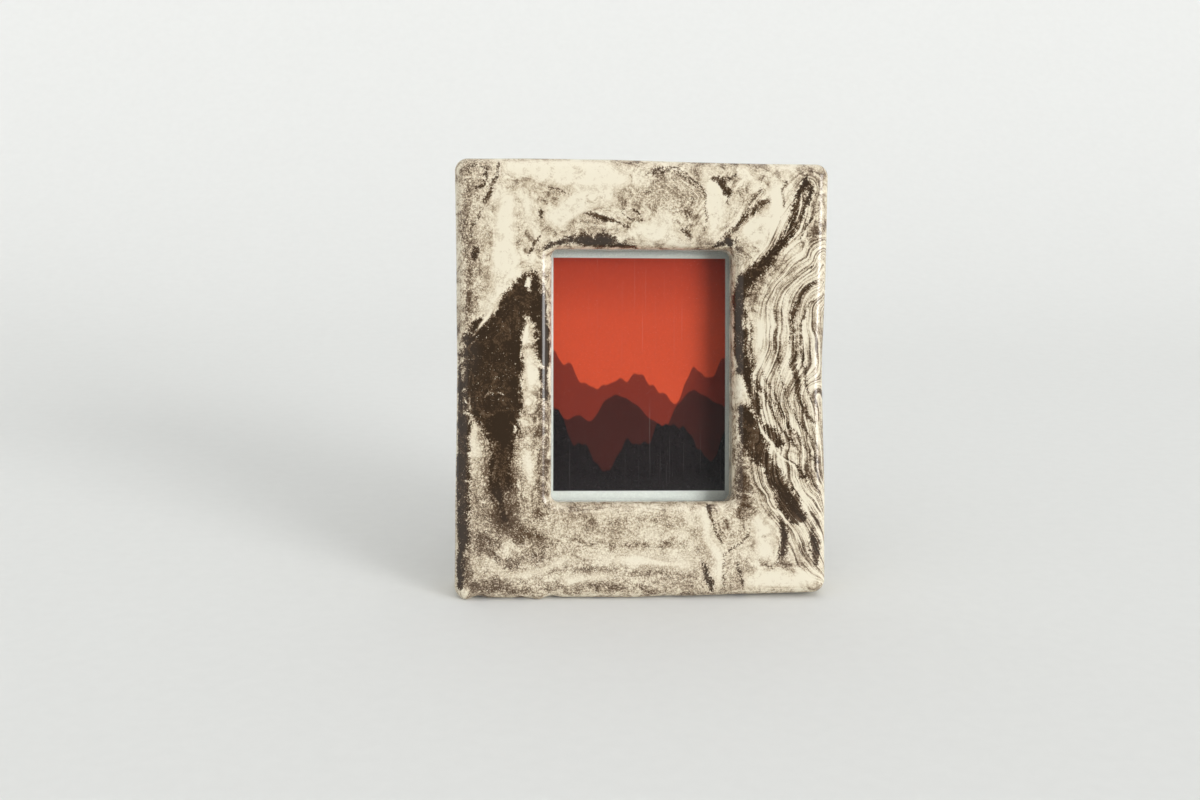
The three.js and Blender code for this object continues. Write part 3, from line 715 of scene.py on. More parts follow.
class BodyShape:
    """The sizes of the clay body, worked out from the sheets that it holds."""

    def __init__(self, settings):
        clay, film = settings.clay, settings.print
        board = box_in(LEANING, "backing_board")
        picture = picture_box(film)
        self.clay = clay
        self.rabbet_half = board.half + Vector((clay.sheet_gap, 0, clay.sheet_gap))
        self.rabbet_middle = board.pivot.z
        self.rabbet_depth = settings.hardware.seat - box_in(LEANING, "glass_pane").low.y
        self.half_width = self.rabbet_half.x + clay.side_wall
        self.half_height = self.rabbet_half.z + (clay.top_wall + clay.foot_wall) / 2
        self.middle = self.rabbet_middle + (clay.top_wall - clay.foot_wall) / 2
        self.front = -self.rabbet_depth - clay.lip
        self.picture_middle = picture.pivot.z
        self.window_half_width = picture.high.x + film.side_reveal
        self.window_half_height = picture.half.z + (film.top_reveal + film.foot_reveal) / 2
        self.window_middle = self.picture_middle + (film.top_reveal - film.foot_reveal) / 2

    def window_ring(self, outset, depth, hand):
        """The window's outline grown by an outset."""
        corner = self.clay.window_corner + outset
        half_width, half_height = self.window_half_width + outset, self.window_half_height + outset
        return Ring(half_width, half_height, corner, self.window_middle, depth, 0, hand)

    def outline_ring(self, inset, depth):
        """The body's outline shrunk by an inset."""
        corner = max(self.clay.outline_corner - inset, 0.3 * MM)
        return Ring(self.half_width - inset, self.half_height - inset, corner, self.middle, depth, 1, 1)

    def rabbet_ring(self, depth):
        """The outline of the rabbet."""
        return Ring(self.rabbet_half.x, self.rabbet_half.z, MM, self.rabbet_middle, depth, 0, 0)

    def rings(self):
        """The rings of the section, from the window's inner edge over the face and round the back."""
        clay, front = self.clay, self.front
        inner = self.window_ring(0, -self.rabbet_depth, 0)
        soft = clay.window_round
        mouth = [
            self.window_ring(soft * (1 - cosine), front + soft * (1 - sine), 0.3 + 0.7 * sine)
            for sine, cosine in quarter(9)
        ]
        soft = clay.front_round
        shoulder = [
            self.outline_ring(soft * (1 - sine), front + soft * (1 - cosine)) for sine, cosine in quarter(8)
        ]
        soft = clay.back_round
        heel = [self.outline_ring(soft * (1 - cosine), soft * (sine - 1)) for sine, cosine in quarter(5)]
        face = rings_between(mouth[-1], shoulder[0], 42)
        for step, ring in enumerate(face):
            swell = math.sin(math.pi * (step + 1) / (len(face) + 1))
            face[step] = ring._replace(depth=front - clay.crown * swell)
        sleeve = rings_between(inner, mouth[0], 5)
        wall = rings_between(shoulder[-1], heel[0], 10)
        back = rings_between(heel[-1], self.rabbet_ring(0), 10)
        floor = [self.rabbet_ring(0), self.rabbet_ring(-self.rabbet_depth)]
        return [inner, *sleeve, *mouth, *face, *shoulder, *wall, *heel, *back, *floor, inner]

    def strayed(self, point, loose):
        """Moves a point of a true rectangle to where the hand-cut slab has it."""
        clay = self.clay
        u = point.x / self.half_width
        v = (point.z - self.middle) / self.half_height
        point.x += loose * u * spline(clay.right_stray if u > 0 else clay.left_stray, v)
        drop = spline(clay.top_stray if v > 0 else clay.foot_stray, u)
        if v < 0:
            spots = [((point.x / MM - place) / width, lump) for place, lump, width in FOOT_LUMPS]
            drop += MM * sum(lump * math.exp(-spot * spot) for spot, lump in spots)
        point.z += loose * v * drop
        return point


def clay_mesh(shape):
    """Extrudes a loop of edges from ring to ring right round the section."""
    mesh = bmesh.new()
    share = mesh.verts.layers.float.new("share")
    hand = mesh.verts.layers.float.new("hand")
    count = 4 * (CORNER_STEPS + SIDE_STEPS)
    loop = bmesh.ops.create_circle(mesh, segments=count, radius=1)["verts"]
    for step, vert in enumerate(loop):
        vert[share] = step / count
    edges = mesh.edges[:]
    for step, ring in enumerate(shape.rings()):
        if step > 0:
            loop, edges = extruded(mesh, edges)
        for vert in loop:
            vert.co = shape.strayed(ring_place(ring, vert[share]), ring.loose)
            vert[hand] = ring.hand
    bmesh.ops.remove_doubles(mesh, verts=mesh.verts, dist=SAME_PLACE)
    bmesh.ops.recalc_face_normals(mesh, faces=mesh.faces)
    mesh.normal_update()
    for vert in mesh.verts:
        swell = sum(height * noise.noise(vert.co / (width * MM)) for height, width in SWELLS)
        vert.co += vert.normal * vert[hand] * swell * MM
    return mesh


# Marbling of the clay, as strokes in millimetres from the picture's centre, to the right and up. Each point
# of a stroke has its half width
DARK_MASSES = (
    (
        (-30.4, 25, 0.8), (-33.4, 18.8, 2.9), (-36.3, 11.6, 4.8),
        (-38.8, 4.5, 6.7), (-39.4, -3, 6.8), (-38, -9.5, 5.6),
    ),
    ((-38, -9.5, 5.6), (-36.9, -14.4, 3.9), (-36.9, -17.8, 1.2), (-37.2, -20.8, -0.7)),
    ((-40, -18, -0.1), (-39.6, -23, 0.2), (-39.2, -28, 0.1), (-39, -33, -0.3)),
    ((-34.6, -18, 0.2), (-35, -23, 0.3), (-35.2, -28, 0.1), (-35.6, -32, -0.3)),
    ((-37.4, -26, -0.1), (-37.4, -31, 0.4), (-36.4, -36, 0.3), (-34.4, -40, -0.2)),
    ((-27.4, 25.4, 0.6), (-26.6, 19, 1.9), (-26, 13, 2), (-25.6, 6, 1.9), (-25.4, 0, 1.5), (-25.6, -6, 0.7)),
    ((-30.6, 20.6, 1.6), (-29.2, 17.4, 2.4), (-28.4, 14.6, 0.8)),
    ((-41.6, 15, 0), (-43.3, 12, 0.8), (-45.2, 8.5, 1)),
    (
        (-48.2, 6, 0), (-47.8, -1, 1.1), (-47.3, -12, 2.1), (-47.2, -25, 2.1),
        (-47.2, -38, 1.6), (-47.2, -47, 1.3), (-47.4, -56, 0.9),
    ),
    (
        (-25, 32.5, 0.4), (-21.8, 33.8, 1), (-17.5, 34.6, 1.5),
        (-12, 34.3, 1.7), (-7.5, 34, 1.5), (-3, 32.7, 0.4),
    ),
    ((18.7, 51, 0.9), (20.1, 48.9, 1.1), (21.4, 47, 0.7), (20.8, 44.8, 0)),
    (
        (42.7, 50.4, 1), (40.6, 46.5, 0.9), (39.5, 41.8, 1),
        (38.2, 38, 1), (35.4, 34.5, 0.9), (32.2, 30.9, 0.9),
    ),
    ((32.2, 30.9, 0.9), (29, 27.8, 1.4), (26.7, 24, 1.9), (25, 19.5, 2), (24.6, 14, 1.8), (24.8, 6.5, 1.6)),
    ((24.8, 6.5, 1.6), (26.6, 1.8, 1.5), (28, -3, 1.3), (29.2, -6.5, 1.2), (29.4, -9.5, 1.3)),
    ((44.4, 48, 0.7), (42.5, 45, 0.8), (40.6, 41.6, 0.5)),
    (
        (26, -10.2, 1.6), (26.9, -13.6, 3.1), (29.8, -19, 3),
        (33.7, -23.6, 1.2), (36.8, -28.5, 1.9), (38.2, -33, 2.3),
    ),
    ((38.2, -33, 2.3), (40.2, -36.8, 2)),
    ((31.8, -13, 0.8), (33.6, -15, 1.4), (35.8, -18.4, 1)),
    ((41, -24.2, 0.2), (42.6, -26.4, 0.6), (43.8, -27.6, 0.2)),
    ((35.4, -37, 0.6), (36.9, -41, 0.8), (37.2, -46.5, 1)),
    ((44, -41, 0.7), (45, -45, 1.2), (45.8, -49.5, 0.9)),
    ((19, 32.4, 0.7), (21.8, 34, 1.1), (23.4, 35.2, 0.4)),
    ((15.6, -49.6, 0.1), (17.2, -53, 0.5), (18.2, -56.5, 0.3)),
)
VEINS = (
    (
        (18, 32.8, 0.2), (20.8, 36.6, 0.1), (25, 40.7, 0.1),
        (28.4, 45.2, 0.1), (30.5, 47.7, 0), (32.6, 52.5, -0.1),
    ),
    ((21.5, 36.2, 0), (25.7, 41.1, 0.2), (29.5, 43.5, 0.7), (32.8, 45.8, 0.5)),
    ((22, 51.2, 0.3), (24, 51.9, 0.1)),
    ((38.5, 51.2, 0), (36.9, 48, 0.3), (37.1, 44.2, 0.1)),
    ((44.2, 41.5, 0.4), (41.6, 38.3, 0.3), (40.4, 35.4, 0.1)),
    ((42.2, 25.8, 0.1), (42.7, 27.6, 0.1), (44.8, 28.6, 0.1), (44, 26.8, 0.1), (42.2, 25.8, 0.1)),
    ((45.2, 23.8, 0.4), (42, 21.3, 0.4), (39.8, 18, 0.7), (39.2, 14.6, 0.6), (39, 10, 0.6), (39.6, 2, 0.7)),
    ((39.6, 2, 0.7), (41, -4.1, 0.6), (43.3, -9.7, 0.4), (45.6, -13.4, 0.2)),
    ((45.4, 19.5, 0.2), (43, 17, 0.2), (41.6, 13, 0.3), (41.4, 6, 0.2), (42.6, -1, 0.3), (45, -7, 0.1)),
    ((29, 8.8, 0), (29.8, 1.9, 0.1), (32.6, -5.1, 0.1), (37.3, -11, 0.2), (41, -17, 0.2), (45.2, -22.6, 0.2)),
    ((35.8, 6, 0), (36.4, -1, 0.1), (39.2, -8, 0.1), (43, -14.5, 0.2), (45.7, -18, 0.1)),
    ((30.8, -15.6, 0), (36.3, -20.8, 0.2), (41, -24.4, 0.2)),
    ((30.6, -2, 0.1), (33.4, -8, 0.3), (36.4, -13.4, 0.3), (40, -19, 0.2)),
    ((31.8, 2, 0), (34.6, -5.4, 0.2), (38, -11.6, 0.3), (42.4, -17.4, 0.2)),
    ((27.4, 18, 0.1), (27, 12, 0.5), (27.4, 6, 0.4), (28.4, 2, 0.2), (30.8, -4, 0.2)),
    ((28.8, 15, 0), (28.6, 9, 0.3), (29.2, 3, 0.2)),
    (
        (1.3, 51.8, 0.1), (4.4, 53.5, 0.2), (8.3, 53.5, 0.2),
        (11.7, 51.8, 0.2), (14.5, 48.7, 0.2), (15.9, 45.6, 0.1),
    ),
    ((15.9, 45.6, 0.1), (16.6, 41.1, 0.1), (15.8, 37.6, -0.1)),
    ((3.4, 52.3, -0.1), (8, 52.5, 0), (11, 50.9, 0), (13.6, 48, 0)),
    ((9, 38.8, 0), (10.8, 38, 0.4), (12.4, 36, 0.3)),
    ((-15.2, 42.7, 0), (-12.4, 41.3, 0.7), (-9.4, 39.8, 0.5), (-6.5, 39.1, 0.2), (-4.2, 38, 0)),
    (
        (-6.5, 42, 0), (-4.3, 43.1, 0), (-1.4, 42.4, 0.1), (0.1, 40.6, 0),
        (-1.7, 39.8, 0.1), (-5, 40.9, 0), (-6.5, 42, 0),
    ),
    ((-24.7, 48.9, 0), (-22.5, 48.2, -0.1), (-18.9, 47.1, -0.2)),
    (
        (-46.2, 53, 0), (-43.3, 54.1, 0.1), (-40.7, 53, 0.2),
        (-40.8, 50.8, 0.5), (-41, 48.6, 0.3), (-43.6, 48, 0.1),
    ),
    ((-37.6, 55, 0.2), (-37.6, 51.6, 0.3), (-38.4, 49.6, 0.5), (-39.8, 46.8, 0.4), (-41.6, 44.8, 0.4)),
    ((-42.2, 43.4, 0.1), (-43.2, 40, 0.2), (-44.4, 37.6, 0.1), (-44.6, 35.6, 0)),
    ((-43.1, 32.6, 0.5), (-43.6, 30.2, 0.6)),
    ((-26.1, 42.4, 0.4), (-26.2, 41, 0.3)),
    ((-26.2, 37, 0), (-28.4, 34, 0.4), (-29.6, 31, 0.4)),
    ((17.8, -33.4, 0.6), (17.5, -36.4, 0.3), (18.6, -41, 0.3), (19.8, -43.4, 0.1)),
    ((28, -40, 0.1), (25.6, -43.2, 0.2), (20.3, -46.4, 0.2), (20.5, -50.6, 0.2), (21.4, -56, 0.1)),
    ((24.2, -48.8, 0.1), (26.4, -53.4, 0.2), (26.6, -56, 0)),
    ((33.5, -52.6, 0.1), (34.2, -50.6, 0), (35.4, -50.4, 0)),
)
PALE_VEINS = (
    ((-39.8, 17, 0), (-41.6, 13, 0.2), (-42.8, 10, 0)),
    ((-44.4, 5, -0.2), (-44.1, 0, -0.1), (-44.3, -5, -0.1), (-44.2, -9.5, 0.2)),
    ((-40.4, -6.6, -0.1), (-39, -5, 0.1), (-37, -4.8, 0.1), (-36, -5.6, -0.1)),
    ((-44.8, 5.2, 0), (-43.6, 7.4, 0.1), (-42.6, 8.6, 0)),
    ((-30, 13.2, 0), (-30.2, 10.6, 0.3), (-31.2, 8.6, 0.2)),
    ((-29.3, 24.4, 0.4), (-29, 22.4, 0.2)),
    ((30.2, -13, 0.2), (32.2, -16.4, 0.3), (35.6, -20.4, 0.2), (40.4, -24.8, 0.1)),
    ((41.6, 49, 0), (41.2, 44.6, 0.2), (39.9, 40, 0)),
    ((34, -34.6, 0), (36.2, -36.4, 0.2), (37.2, -38.6, 0.1)),
)
CREAM_MASSES = (
    ((-35.5, 45, 1.8), (-37, 38, 2.2), (-36, 29, 3), (-37, 22.5, 2.6), (-40.6, 17.5, 0.9)),
    ((-33.5, 54, 1.8), (-25.5, 53, 3.4), (-11.5, 52, 3.4), (-5.5, 49.5, 1.6)),
    ((-22, 41, 2.2), (-17, 45.5, 2.4), (-9, 46, 1.8)),
    ((-31, 47, 1.4), (-29.5, 42, 1)),
    ((12.6, 35.6, 0.8), (17.4, 35.8, 0.9)),
    ((-28.6, 37.4, 0.7), (-26.4, 35.4, 0.6)),
    ((1, 38, 2.1), (6.5, 36, 2.3), (13, 33.8, 1)),
    ((16.8, 53, 1.3), (18.4, 43.5, 1.9), (17.8, 37.5, 1.6)),
    ((26, 53.8, 1.3), (28.4, 51.5, 1.2)),
    ((27, 36.5, 1.6), (31, 38.8, 2.6), (35.4, 41.8, 2.4), (35, 48, 1.2)),
    ((31.6, 14, 1.2), (31.2, 8, 1.1), (33, 0, 0.8)),
    ((24.8, 0, 0.6), (25.4, -3.6, 1.4), (25.2, -6.4, 1)),
    ((32, -9, 0.8), (33.2, -11.8, 0.6)),
    ((34, -22.6, 0.8), (36.2, -26.6, 1.6)),
    ((40, -38.6, 1), (41, -42.6, 1.2)),
    ((30, -38.5, 1.2), (31.6, -43, 2.2), (32, -45.6, 1.2)),
    ((28.5, -53, 1.6), (36.5, -53.4, 2), (43.5, -53.8, 1.6)),
    ((16, -34.6, 1), (15.8, -42, 1.3), (19.5, -48, 1), (19.6, -53, 0.9)),
    ((-7, -48.4, 0.4), (-3.6, -48.6, 0.8), (3.4, -49.2, 0.7), (12, -49.8, 0.8)),
    ((-19.4, -54, 0.9), (-9.4, -53.8, 0.9)),
    ((-44, -11.4, 0.1), (-43.6, -15, 0.4), (-43.4, -20, 0.1)),
    ((-30.2, 6, 0.6), (-29.8, 0, 0.8), (-30.6, -3.6, 0.2)),
    ((-29.8, -20, 0.1), (-29.4, -23.6, 0.5), (-29, -28, 0)),
    ((-44.4, -47, -0.2), (-43.8, -51.5, 0.1), (-41.6, -55.5, 0)),
    ((-40.8, -48.8, 0), (-36.6, -51.6, 0.2), (-31, -52.4, 0.2), (-26, -50.5, 0.2), (-20, -48.6, 0.2)),
)
# Smoky grey-brown clay. The stroke along the bottom edge, near v = -56, is painted shade on the foot's lower
# roundover, which faces down
SMOKE_AND_PAINTED_SHADE = (
    ((0.6, 52.4, 0.9), (4.6, 51.8, 0.9), (2, 48.4, 0.6)),
    ((7.6, 43.4, 0.7), (11.6, 41.6, 1)),
    ((23.8, 48.6, 1), (27, 46.4, 0.8)),
    ((18.4, 32.2, 0.8), (22, 33.4, 1.6), (25.6, 32.8, 1.3)),
    ((45.4, 45, 1.2), (45.4, 38, 1.7), (43, 34.6, 1)),
    ((36, 19.4, 1.2), (35, 12, 1.5), (36.2, 2, 1)),
    ((30.6, 26.4, 0.6), (34.4, 30.4, 0.8)),
    ((37.4, -14.6, 0.5), (39.6, -20, 0.9), (42.6, -25, 0.9), (45.4, -31, 1.3), (45.2, -38, 1.3)),
    ((25.2, -19, 2.2), (27.2, -28, 2.7), (26.8, -36, 2.2), (22.4, -38.8, 2.8)),
    ((22.4, -49, 0), (23.2, -54.5, 0)),
    ((29, -49.6, 0.3), (38, -49.4, 0.6), (43, -50, 0.6)),
    ((-26.2, 24.4, 0.8), (-25.4, 10, 1.8), (-25.4, -6, 2.5), (-25.6, -20, 3), (-26, -31, 2)),
    (
        (-36.6, -10, 2.6), (-36.6, -17, 5), (-36.8, -25, 5.3),
        (-37, -32, 5), (-35.6, -38.6, 4.4), (-32, -42, 3),
    ),
    ((-32, -42, 2.6), (-26.5, -43, 1.8)),
    ((-25.8, -31, 1.5), (-26.8, -36.6, 2.8)),
    ((-41.4, -42, 2.5), (-38, -44.4, 2.7)),
    ((-46.4, -41, 2.2), (-45.8, -48, 2.8), (-45, -55, 2), (-34, -56.4, 1), (-23, -56.2, 1)),
    ((-20, -38.2, -2.6), (-8, -38.4, 0.1), (8, -38.8, -0.5)),
    ((-24, -44.4, 0.6), (-10, -44.8, -0.4), (10, -43.8, 0.5)),
    ((-26, -51, 0.6), (-12, -51, 0.3), (0, -52.6, 0.3), (10, -53, -0.6)),
    ((46.6, -27, 1), (46, -34, 1.7), (45.4, -39, 1.2)),
    ((26, -28, 1.2), (27, -33, 1.6)),
    ((25.4, 36.6, 0.8), (27, 34, 1.4)),
    ((38.6, 13.4, 0.9), (39, 8.6, 1)),
    # Painted shade: darkens the foot's lower roundover along the bottom edge, where it faces down
    ((-28, -55.6, 1), (-20, -56.6, 1.7), (-4, -56.8, 1.6), (6, -57, -0.4)),
    ((-46.4, 53, 1), (-45.6, 47, 2.1), (-45.6, 40, 0.5), (-45, 24, 1.9), (-45.4, 14, 1.4)),
    ((-43.2, -44, 1.8), (-37, -48.4, 1.9), (-28, -47.4, 1.6)),
)
FOLDS = (
    ((48, 30, 9), (49.5, 15, 21), (50, 1, 20.5), (51, -13, 14)),
    ((47, -6, 22), (55, -22, 28), (60, -38, 24), (64, -56, 15)),
    ((13, 40, 2), (15, 46, 3.4), (9, 51, 3)),
    ((43, 48.5, 5.2), (38.5, 39, 6.2), (30, 29, 4)),
    ((20, 34, 2), (27, 42.5, 3.4), (31, 48, 3)),
    ((-4, 41.5, 1.4), (-2, 41.5, 1.4)),
)
GRAINY = (
    ((-45, 54, 3), (-45, 14, 3)),
    ((-46, -46, 11), (16, -46, 11)),
    ((-37, -22, 9), (-37, -40, 9)),
    ((2, 48, 4), (10, 46, 4)),
)


def reach_into(places, strokes, blend=0.6):
    """How far each place lies inside the nearest stroke, in millimetres, below zero outside them all. Strokes
    closer than the blend run into each other."""
    reaches = []
    for stroke in strokes:
        best = np.full(len(places), -np.inf)
        for first, last in zip(stroke, stroke[1:]):
            start, end = np.array(first), np.array(last)
            line = end[:2] - start[:2]
            share = np.clip((places - start[:2]) @ line / (line @ line), 0, 1)
            nearest = start + share[:, None] * (end - start)
            best = np.maximum(best, nearest[:, 2] - np.linalg.norm(places - nearest[:, :2], axis=1))
        reaches.append(best)
    return blend * np.logaddexp.reduce(np.array(reaches) / blend, axis=0)


# How closely strokes blend, in millimetres: fine for veins, broad for the flow
FINE_BLEND, BROAD_BLEND = 0.15, 1.5

# Over this many millimetres the clay passes into a fold or into grain
FADE = 4


def paint_marbling(piece, shape):
    """Writes where the clays lie, and the painted shade along the foot's lower edge, to attributes of the
    piece.
    The face's pattern runs on round the edges.
    """
    mesh = piece.data
    points, normals = np.empty((2, 3 * len(mesh.vertices)))
    mesh.vertices.foreach_get("co", points)
    mesh.vertices.foreach_get("normal", normals)
    axes = np.array(LEANING.to_3x3())
    local = (points.reshape(-1, 3) - np.array(LEANING.translation)) @ axes / MM
    facing = normals.reshape(-1, 3) @ axes
    depth = local[:, 1] - shape.front / MM
    flat = np.stack([local[:, 0], local[:, 2] - shape.picture_middle / MM], axis=1)
    places = flat + facing[:, [0, 2]] * depth[:, None]

    # Waves of drift, by their spacing and swing in millimetres, seeded so that they are the same each run.
    # The broadest grows with the depth behind the face
    noise.seed_set(2)
    for spacing, swing in ((30, 0.5 * depth[:, None]), (16, 1.4), (5, 0.8)):
        spots = [(u / spacing, v / spacing, d / spacing) for (u, v), d in zip(places, depth)]
        places = places + swing * np.array([noise.noise_vector(spot) for spot in spots])[:, :2]
    layers = (
        reach_into(places, DARK_MASSES),
        reach_into(places, CREAM_MASSES),
        reach_into(places, SMOKE_AND_PAINTED_SHADE),
        reach_into(places, VEINS, FINE_BLEND),
        reach_into(places, PALE_VEINS, FINE_BLEND),
        reach_into(places, (*DARK_MASSES, *CREAM_MASSES, *SMOKE_AND_PAINTED_SHADE, *FOLDS), BROAD_BLEND),
        np.clip(reach_into(places, FOLDS, BROAD_BLEND) / FADE, 0, 1),
        np.clip(reach_into(places, GRAINY, BROAD_BLEND) / FADE + 0.5, 0, 1),
    )
    for name, values in zip(CLAY_LAYERS, layers):
        mesh.attributes.new(name, "FLOAT", "POINT").data.foreach_set("value", values.astype(np.float32))


def build_clay_body(settings):
    """The clay body: lofted, drilled for the plugs, ground level with the table and marbled. The glaze is
    wiped off its rabbet, back and foot."""
    shape = BodyShape(settings)
    seat = settings.hardware.seat
    plugs = [box_in(LEANING, node) for node in frame["nodes"] if node.startswith("screw_plug")]
    holes = rods([plug.pivot for plug in plugs], plugs[0].half.x + seat, plugs[0].low.y - seat, OVERCUT)
    mesh = combined(clay_mesh(shape), holes, "DIFFERENCE")
    bmesh.ops.transform(mesh, matrix=LEANING, verts=mesh.verts)
    trimmed_at_table(mesh)
    glazed = new_material("Glazed agate clay", glazed_clay, settings.clay)
    bare = new_material("Bare agate clay", bare_clay, settings.clay)
    name, node, slot = "marbled_clay_body", "ceramic_frame", "glazed_clay"
    piece = finished(mesh, name, UNMOVED, "frame", node, slot, glazed, bare, crease=50)
    upright = LEANING.inverted()
    for face in piece.data.polygons:
        centre = upright @ face.center
        aside = abs(centre.x) - shape.rabbet_half.x
        above = abs(centre.z - shape.rabbet_middle) - shape.rabbet_half.z
        in_rabbet = centre.y > -shape.rabbet_depth and max(aside, above) < MM
        at_back = face.normal.dot(BACK_NORMAL) > 0.8
        at_foot = face.center.z < 0.1 * MM
        if in_rabbet or at_back or at_foot:
            face.material_index = 1
    paint_marbling(piece, shape)


# Sheets in the rabbet, board and strut

BOARD_RIVETS = ("board_rivet_left", "board_rivet_right")
STRUT_RIVETS = ("strut_rivet_left", "strut_rivet_right")
RIVET_HOLE = 1.3 * MM

# Width of the fibres in pressed hardboard, and how rough it is
HARDBOARD_GRAIN = (1.6 * MM, 0.62)

# How far the strut's blank reaches below the table before it is trimmed
BELOW_TABLE = 2 * MM


def build_window_sheets(settings):
    """The pane, the print and the card behind it."""
    hardware, film = settings.hardware, settings.print
    glass = new_material("Float glass", float_glass)
    glossy = new_material("Instant film", instant_film, film, picture_box(film))
    card = new_material("Grey board", fibre_board, hardware.card, 1.2 * MM, 0.85)
    sheets = (
        ("window_pane", "glass_pane", "pane_glass", glass, hardware.sheet_corner, 0.25 * MM),
        ("instant_print", "photo_print", "print_film", glossy, film.corner, 0.06 * MM),
        ("filler_sheet", "filler_card", "grey_card", card, hardware.sheet_corner, 0.1 * MM),
    )
    for name, node, slot, material, corner, edge in sheets:
        mesh = plate(box_in(LEANING, node), corner)
        softened(mesh, edge, 2)
        finished(mesh, name, LEANING, "frame", node, slot, material)


def rivet_places(place, nodes):
    """Where rivets stand, in the axes of the given place."""
    return [box_in(place, node).pivot for node in nodes]


def build_backing_board(settings):
    """The hardboard back with its thumb notch."""
    hardware = settings.hardware
    box = box_in(LEANING, "backing_board")
    notch = Vector((0, 0, box.high.z + hardware.notch_radius - hardware.notch_depth))
    mesh = drilled(plate(box, hardware.sheet_corner), box, [notch], hardware.notch_radius)
    mesh = drilled(mesh, box, rivet_places(LEANING, BOARD_RIVETS), RIVET_HOLE)
    flats_joined(mesh)
    softened(mesh, 0.2 * MM, 2)
    material = new_material("Pressed hardboard", fibre_board, hardware.hardboard, *HARDBOARD_GRAIN)
    finished(mesh, "hardboard_back", LEANING, "frame", "backing_board", "hardboard", material)


def build_easel_strut(settings):
    """The tapered leg, trimmed level with the table where it stands open."""
    hardware = settings.hardware
    box = box_in(OPEN_STRUT, "easel_strut")
    taper = (hardware.strut_foot - hardware.strut_top) / 2 / (box.high.z - box.low.z + BELOW_TABLE)
    foot = box.high.x + taper * BELOW_TABLE
    low = Vector((-foot, box.low.y, box.low.z - BELOW_TABLE))
    high = Vector((foot, box.high.y, box.high.z))
    mesh = plate(Box(low, high), top=hardware.strut_top / 2)
    mesh = drilled(mesh, box, rivet_places(OPEN_STRUT, STRUT_RIVETS), RIVET_HOLE)
    bmesh.ops.transform(mesh, matrix=OPEN_STRUT, verts=mesh.verts)
    trimmed_at_table(mesh)
    flats_joined(mesh)
    softened(mesh, 0.3 * MM, 3)
    material = new_material("Strut hardboard", fibre_board, hardware.hardboard, *HARDBOARD_GRAIN)
    finished(mesh, "easel_leg", UNMOVED, "strut", "easel_strut", "hardboard", material)


# Stop hinge

# How far a knuckle is rolled round the pin, and the height of a rivet's head
KNUCKLE_ROLL = math.radians(300)
RIVET_RISE = 0.9 * MM


def rolled_leaf(hardware, columns, rolled, end, radius, side):
    """Sheet metal for a hinge leaf about the X axis: a plate out to end along side * z, whose tabs between
    the given columns are rolled round the pin, and given its thickness towards the pin."""
    start = radius + hardware.seat
    mesh = bmesh.new()
    _, edges = chain(mesh, [(x, -side * radius, side * start) for x in columns])
    free, _ = extruded(mesh, edges, (0, 0, side * (end - start)))
    lower, roots = extruded(mesh, [edges[column] for column in rolled], (0, 0, -side * start))
    bmesh.ops.spin(mesh, geom=lower + roots, axis=(1, 0, 0), angle=KNUCKLE_ROLL, steps=30)
    bmesh.ops.remove_doubles(mesh, verts=mesh.verts, dist=SAME_PLACE)
    corners = [vert for vert in free if columns[-1] - abs(vert.co.x) < SAME_PLACE]
    rounded(mesh, corners, hardware.leaf_corner, 6, "VERTICES")
    bmesh.ops.recalc_face_normals(mesh, faces=mesh.faces)
    plate_face = max(mesh.faces, key=lambda face: face.calc_area())
    if plate_face.normal.y * side > 0:
        bmesh.ops.reverse_faces(mesh, faces=mesh.faces)
    bmesh.ops.solidify(mesh, geom=mesh.faces[:], thickness=hardware.sheet_steel)
    return mesh


